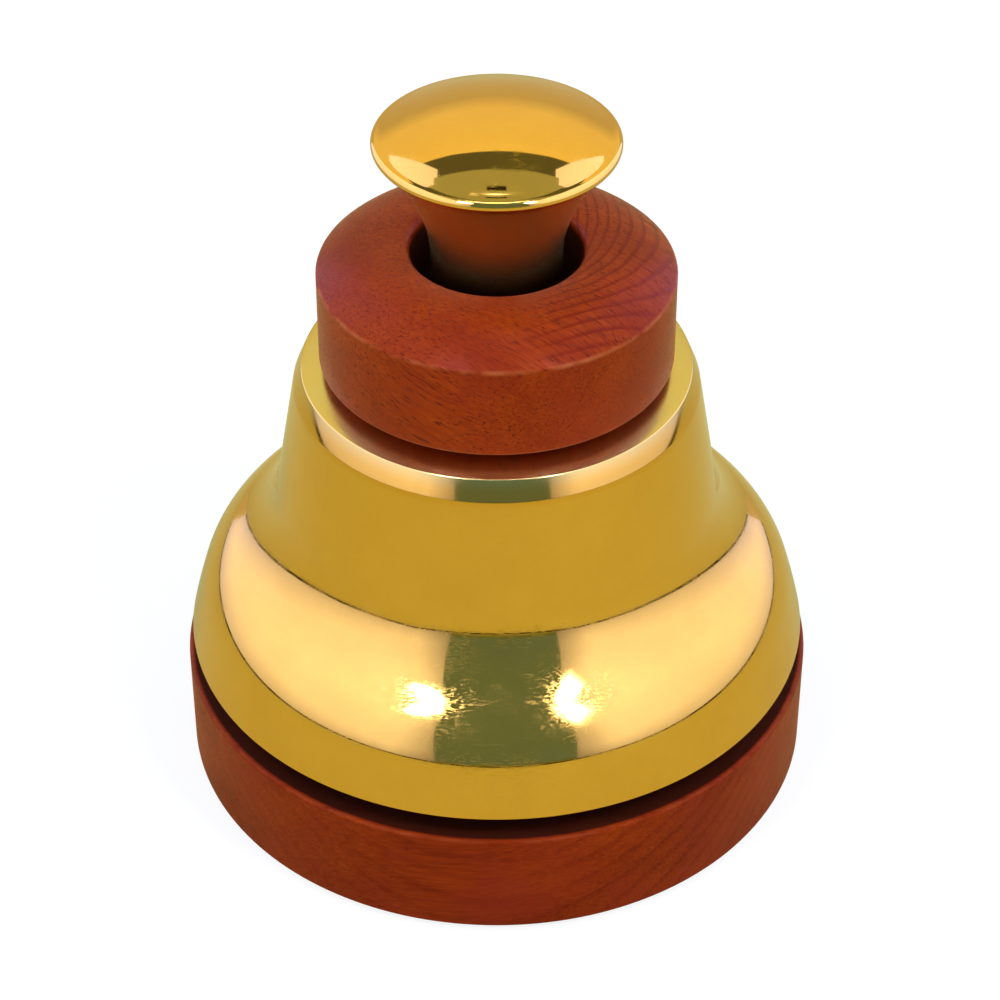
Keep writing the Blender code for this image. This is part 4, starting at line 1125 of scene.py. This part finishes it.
machinedFinish = dict(
    bellFinish,
    colour=(0.78, 0.50, 0.12),
    tarnish=(0.50, 0.28, 0.06),
    mottle=0.5,
    roughness=0.20,
    haze=0.10,
    lacquer=0.0,
    waveDepth=0.0,
    turningFineness=9000.0,
    turningDepth=0.004 * mm,
    dullBands=[],
)


def stainedWood(name, finish, groups):
    made, tree, shader, place = newMaterial(name)
    turned = {"Vector": place, "Location": finish["heart"], "Rotation": finish["turn"]}
    laid = put(tree, "Mapping", turned).outputs[0]
    # the growth rings show on one side of the piece and fade out towards the other
    across = axes(tree, place)["X"]
    levels = (finish["ringsFade"], finish["ringsFull"], finish["ringsFaint"], finish["ringAmount"])
    shown = spread(tree, across, *levels, kind="SMOOTHSTEP")
    upper = {"low": finish["ringsLow"], "high": 1.0, "soft": 2 * mm}
    shown = times(tree, shown, placeMask(tree, place, upper, groups))
    wanted = {tone.capitalize(): rgba(finish[tone]) for tone in ("early", "late", "fleck")}
    wanted.update({"Place": laid, "Taper": finish["taper"], "Ring Scale": finish["ringScale"]})
    wanted.update({"Ring Amount": shown, "Fibre Amount": finish["fibreAmount"]})
    wanted["Fleck Amount"] = finish["fleckAmount"]
    figure = useGroup(tree, groups["wood"], wanted)
    blotch = spread(tree, noise(tree, place, finish["blotchScale"], 4.0, 0.6), 0.42, 0.72)
    blotch = times(tree, blotch, finish["blotch"])
    colour = mixColours(tree, blotch, figure["Color"], rgba(finish["stain"]))
    rough = timesPlus(tree, noise(tree, place, 700), finish["uneven"], finish["roughness"])
    rough = timesPlus(tree, figure["Pores"], finish["uneven"], rough)
    # painted highlight together with rubbed stain: a lighter colour along the rounded edges
    for edge in finish["edges"]:
        line = {"Place": place, "Radius": edge["radius"], "Height": edge["height"]}
        wornAndHighlit = useGroup(tree, groups["edge"], dict(line, Width=finish["wearAndHighlightWidth"]))[0]
        colour = mixColours(tree, times(tree, wornAndHighlit, edge["amount"]), colour, rgba(finish["wearAndHighlightColour"]))
    # painted shade: a near-black colour, with more roughness, in the collar's bore and on the base's top
    # under the bell
    for dark in finish["paintedShadePlaces"]:
        mask = times(tree, placeMask(tree, place, dark, groups), dark["amount"])
        colour = mixColours(tree, mask, colour, rgba(finish["paintedShadeColour"]))
        rough = timesPlus(tree, mask, finish["paintedShadeRoughness"], rough)
    relief = bumps(tree, figure["Height"], finish["grainDepth"])
    feed(tree, shader, {"Base Color": colour, "Roughness": rough, "Normal": relief})
    tint = rgba(finish["sheenColour"])
    feed(tree, shader, {"Specular IOR Level": finish["sheen"], "Specular Tint": tint})
    return made


collarWood = {
    "early": (0.45, 0.056, 0.004),
    "late": (0.23, 0.017, 0.002),
    "fleck": (0.12, 0.012, 0.002),
    "stain": (0.29, 0.022, 0.010),
    # the lighter edge colour: painted highlight together with rubbed stain
    "wearAndHighlightColour": (0.66, 0.19, 0.06),
    # the colour of the painted shade in the bore and under the bell
    "paintedShadeColour": (0.020, 0.006, 0.003),
    "paintedShadeRoughness": 0.3,
    "blotch": 0.65,
    "blotchScale": 75,
    "heart": (0.0316, 0.0072, -0.0685),
    "turn": (0, -24.7 * degree, 22.7 * degree),
    "ringScale": 640.0,
    "ringAmount": 0.75,
    "ringsFaint": 0.06,
    "ringsLow": above("wooden_collar", 0.80),
    "ringsFade": 2 * mm,
    "ringsFull": 13 * mm,
    "taper": 0.75,
    "fibreAmount": 0.75,
    "fleckAmount": 0.9,
    "roughness": 0.27,
    "uneven": 0.12,
    "grainDepth": 0.025 * mm,
    "sheen": 0.16,
    "sheenColour": (1.0, 0.45, 0.34),
    "wearAndHighlightWidth": 0.45 * mm,
    # rounded edges that take the lighter colour, painted highlight together with rubbed stain
    "edges": [
        {"radius": 24.2 * mm, "height": above("wooden_collar", 0.77), "amount": 0.6},
        {"radius": 24.3 * mm, "height": above("wooden_collar", 0.0), "amount": 0.5},
    ],
    # painted shade inside the bore: a near-black colour where the bore lies in shade
    "paintedShadePlaces": [spot("wooden_collar", 0.0, 0.93, 1.2 * mm, reach=12.4 * mm, amount=0.93)],
}

baseWood = dict(
    collarWood,
    early=(0.375, 0.042, 0.004),
    late=(0.18, 0.012, 0.002),
    heart=(0.0, -0.020, 0.035),
    turn=(0, 4 * degree, 9 * degree),
    ringScale=420.0,
    ringAmount=0.30,
    ringsFaint=0.15,
    ringsLow=-1.0,
    taper=0.15,
    fibreAmount=0.75,
    fleckAmount=0.30,
    roughness=0.32,
    sheen=0.10,
    # rounded edges that take the lighter colour, painted highlight together with rubbed stain
    edges=[
        {"radius": 45 * mm, "height": above("wooden_base", 1.0), "amount": 0.35},
        {"radius": 45 * mm, "height": above("wooden_base", 0.0), "amount": 0.35},
    ],
    # painted shade on the top, under the bell, where the bell shades it
    paintedShadePlaces=[spot("wooden_base", 0.985, 1.2, 0.4 * mm, reach=44.3 * mm, amount=0.9)],
)


def platedSteel(name, colour, roughness, groups):
    made, tree, shader, place = newMaterial(name)
    wanted = {"Place": place, "Size": 1.3, "Amount": 0.8, "Cover": 0.5}
    scratches = useGroup(tree, groups["scratches"], wanted)
    cloud = noise(tree, place, 240, 4.0, 0.6)
    darker = (colour[0] * 0.72, colour[1] * 0.75, colour[2] * 0.82)
    tinted = mixColours(tree, cloud, rgba(colour), rgba(darker))
    rough = timesPlus(tree, cloud, 0.18, roughness)
    rough = timesPlus(tree, scratches["Mask"], 0.15, rough)
    relief = {"Strength": 0.4, "Distance": 0.004 * mm, "Height": noise(tree, place, 4500, 2.0)}
    relief = put(tree, "Bump", relief).outputs[0]
    relief = bumps(tree, scratches["Height"], 0.004 * mm, relief)
    feed(tree, shader, {"Base Color": tinted, "Roughness": rough, "Normal": relief, "Metallic": 1.0})
    return made


def softMaterial(name, finish):
    # felt, fibre, rubber and nylon: a mottled colour over a fine bump
    made, tree, shader, place = newMaterial(name)
    drawn = stretch(tree, place, finish["stretch"])
    fine = noise(tree, drawn, finish["grain"], 4.0, 0.7, finish["tangle"])
    broad = noise(tree, place, finish["patches"], 3.0)
    share = timesPlus(tree, fine, 0.7, times(tree, broad, 0.3))
    colour = mixColours(tree, share, rgba(finish["dark"]), rgba(finish["light"]))
    rough = timesPlus(tree, broad, 0.15, finish["roughness"])
    relief = bumps(tree, fine, finish["depth"])
    feed(tree, shader, {"Base Color": colour, "Roughness": rough, "Normal": relief})
    feed(tree, shader, {"Sheen Weight": finish["fuzz"]})
    return made


# by the slot that each is for
softFinishes = {
    "felt": {
        "name": "feltGreen",
        "dark": (0.01, 0.035, 0.018), "light": (0.05, 0.14, 0.075), "depth": 0.25 * mm, "grain": 2600,
        "tangle": 1.5, "patches": 160, "stretch": (1, 1, 1), "roughness": 0.85, "fuzz": 0.6,
    },
    "fibre": {
        "name": "redFibre",
        "dark": (0.10, 0.015, 0.01), "light": (0.26, 0.05, 0.03), "depth": 0.02 * mm, "grain": 1500,
        "tangle": 0.5, "patches": 300, "stretch": (1, 6, 1), "roughness": 0.55, "fuzz": 0.0,
    },
    "bumper_rubber": {
        "name": "blackRubber",
        "dark": (0.01, 0.01, 0.011), "light": (0.035, 0.034, 0.033), "depth": 0.01 * mm, "grain": 3200,
        "tangle": 0.2, "patches": 400, "stretch": (1, 1, 1), "roughness": 0.62, "fuzz": 0.1,
    },
    "nylon": {
        "name": "whiteNylon",
        "dark": (0.66, 0.63, 0.55), "light": (0.84, 0.82, 0.76), "depth": 0.004 * mm, "grain": 2400,
        "tangle": 0.2, "patches": 500, "stretch": (1, 1, 1), "roughness": 0.38, "fuzz": 0.0,
    },
}


def makeFinishes():
    groups = {
        "scratches": scratchGroup(),
        "turning": turningGroup(),
        "wood": woodGroup(),
        "band": bandGroup(),
        "reach": reachGroup(),
        "edge": edgeGroup(),
    }
    finishes = {
        "bell": polishedBrass("polishedBrass", bellFinish, groups),
        "knob": polishedBrass("polishedBrassKnob", knobFinish, groups),
        "machined_brass": polishedBrass("machinedBrass", machinedFinish, groups),
        "base_wood": stainedWood("stainedBaseWood", baseWood, groups),
        "collar_wood": stainedWood("stainedCollarWood", collarWood, groups),
        "plated_steel": platedSteel("platedSteel", (0.62, 0.64, 0.67), 0.22, groups),
        "spring_steel": platedSteel("springSteel", (0.42, 0.42, 0.44), 0.26, groups),
    }
    for slot, finish in softFinishes.items():
        finishes[slot] = softMaterial(finish["name"], finish)
    print("finishes made")
    return finishes


def dressNodes(finishes):
    # the frame's own pieces keep their shape and take the finish of their slot
    for part in frame["record"]["subparts"]:
        node = frame["nodes"][part["node"]]
        finish = finishes.get(part["material_slot"])
        if finish and not node.hide_render:
            node.data.materials.clear()
            node.data.materials.append(finish)
    print("inner pieces finished")


placeCamera()
buildCounter()
buildStudio()
finishes = makeFinishes()
makeBell(finishes["bell"])
makeKnob(finishes["knob"])
makeBase(finishes["base_wood"])
makeCollar(finishes["collar_wood"])
makeFelt(finishes["felt"])
makeSpring(finishes["spring_steel"])
dressNodes(finishes)
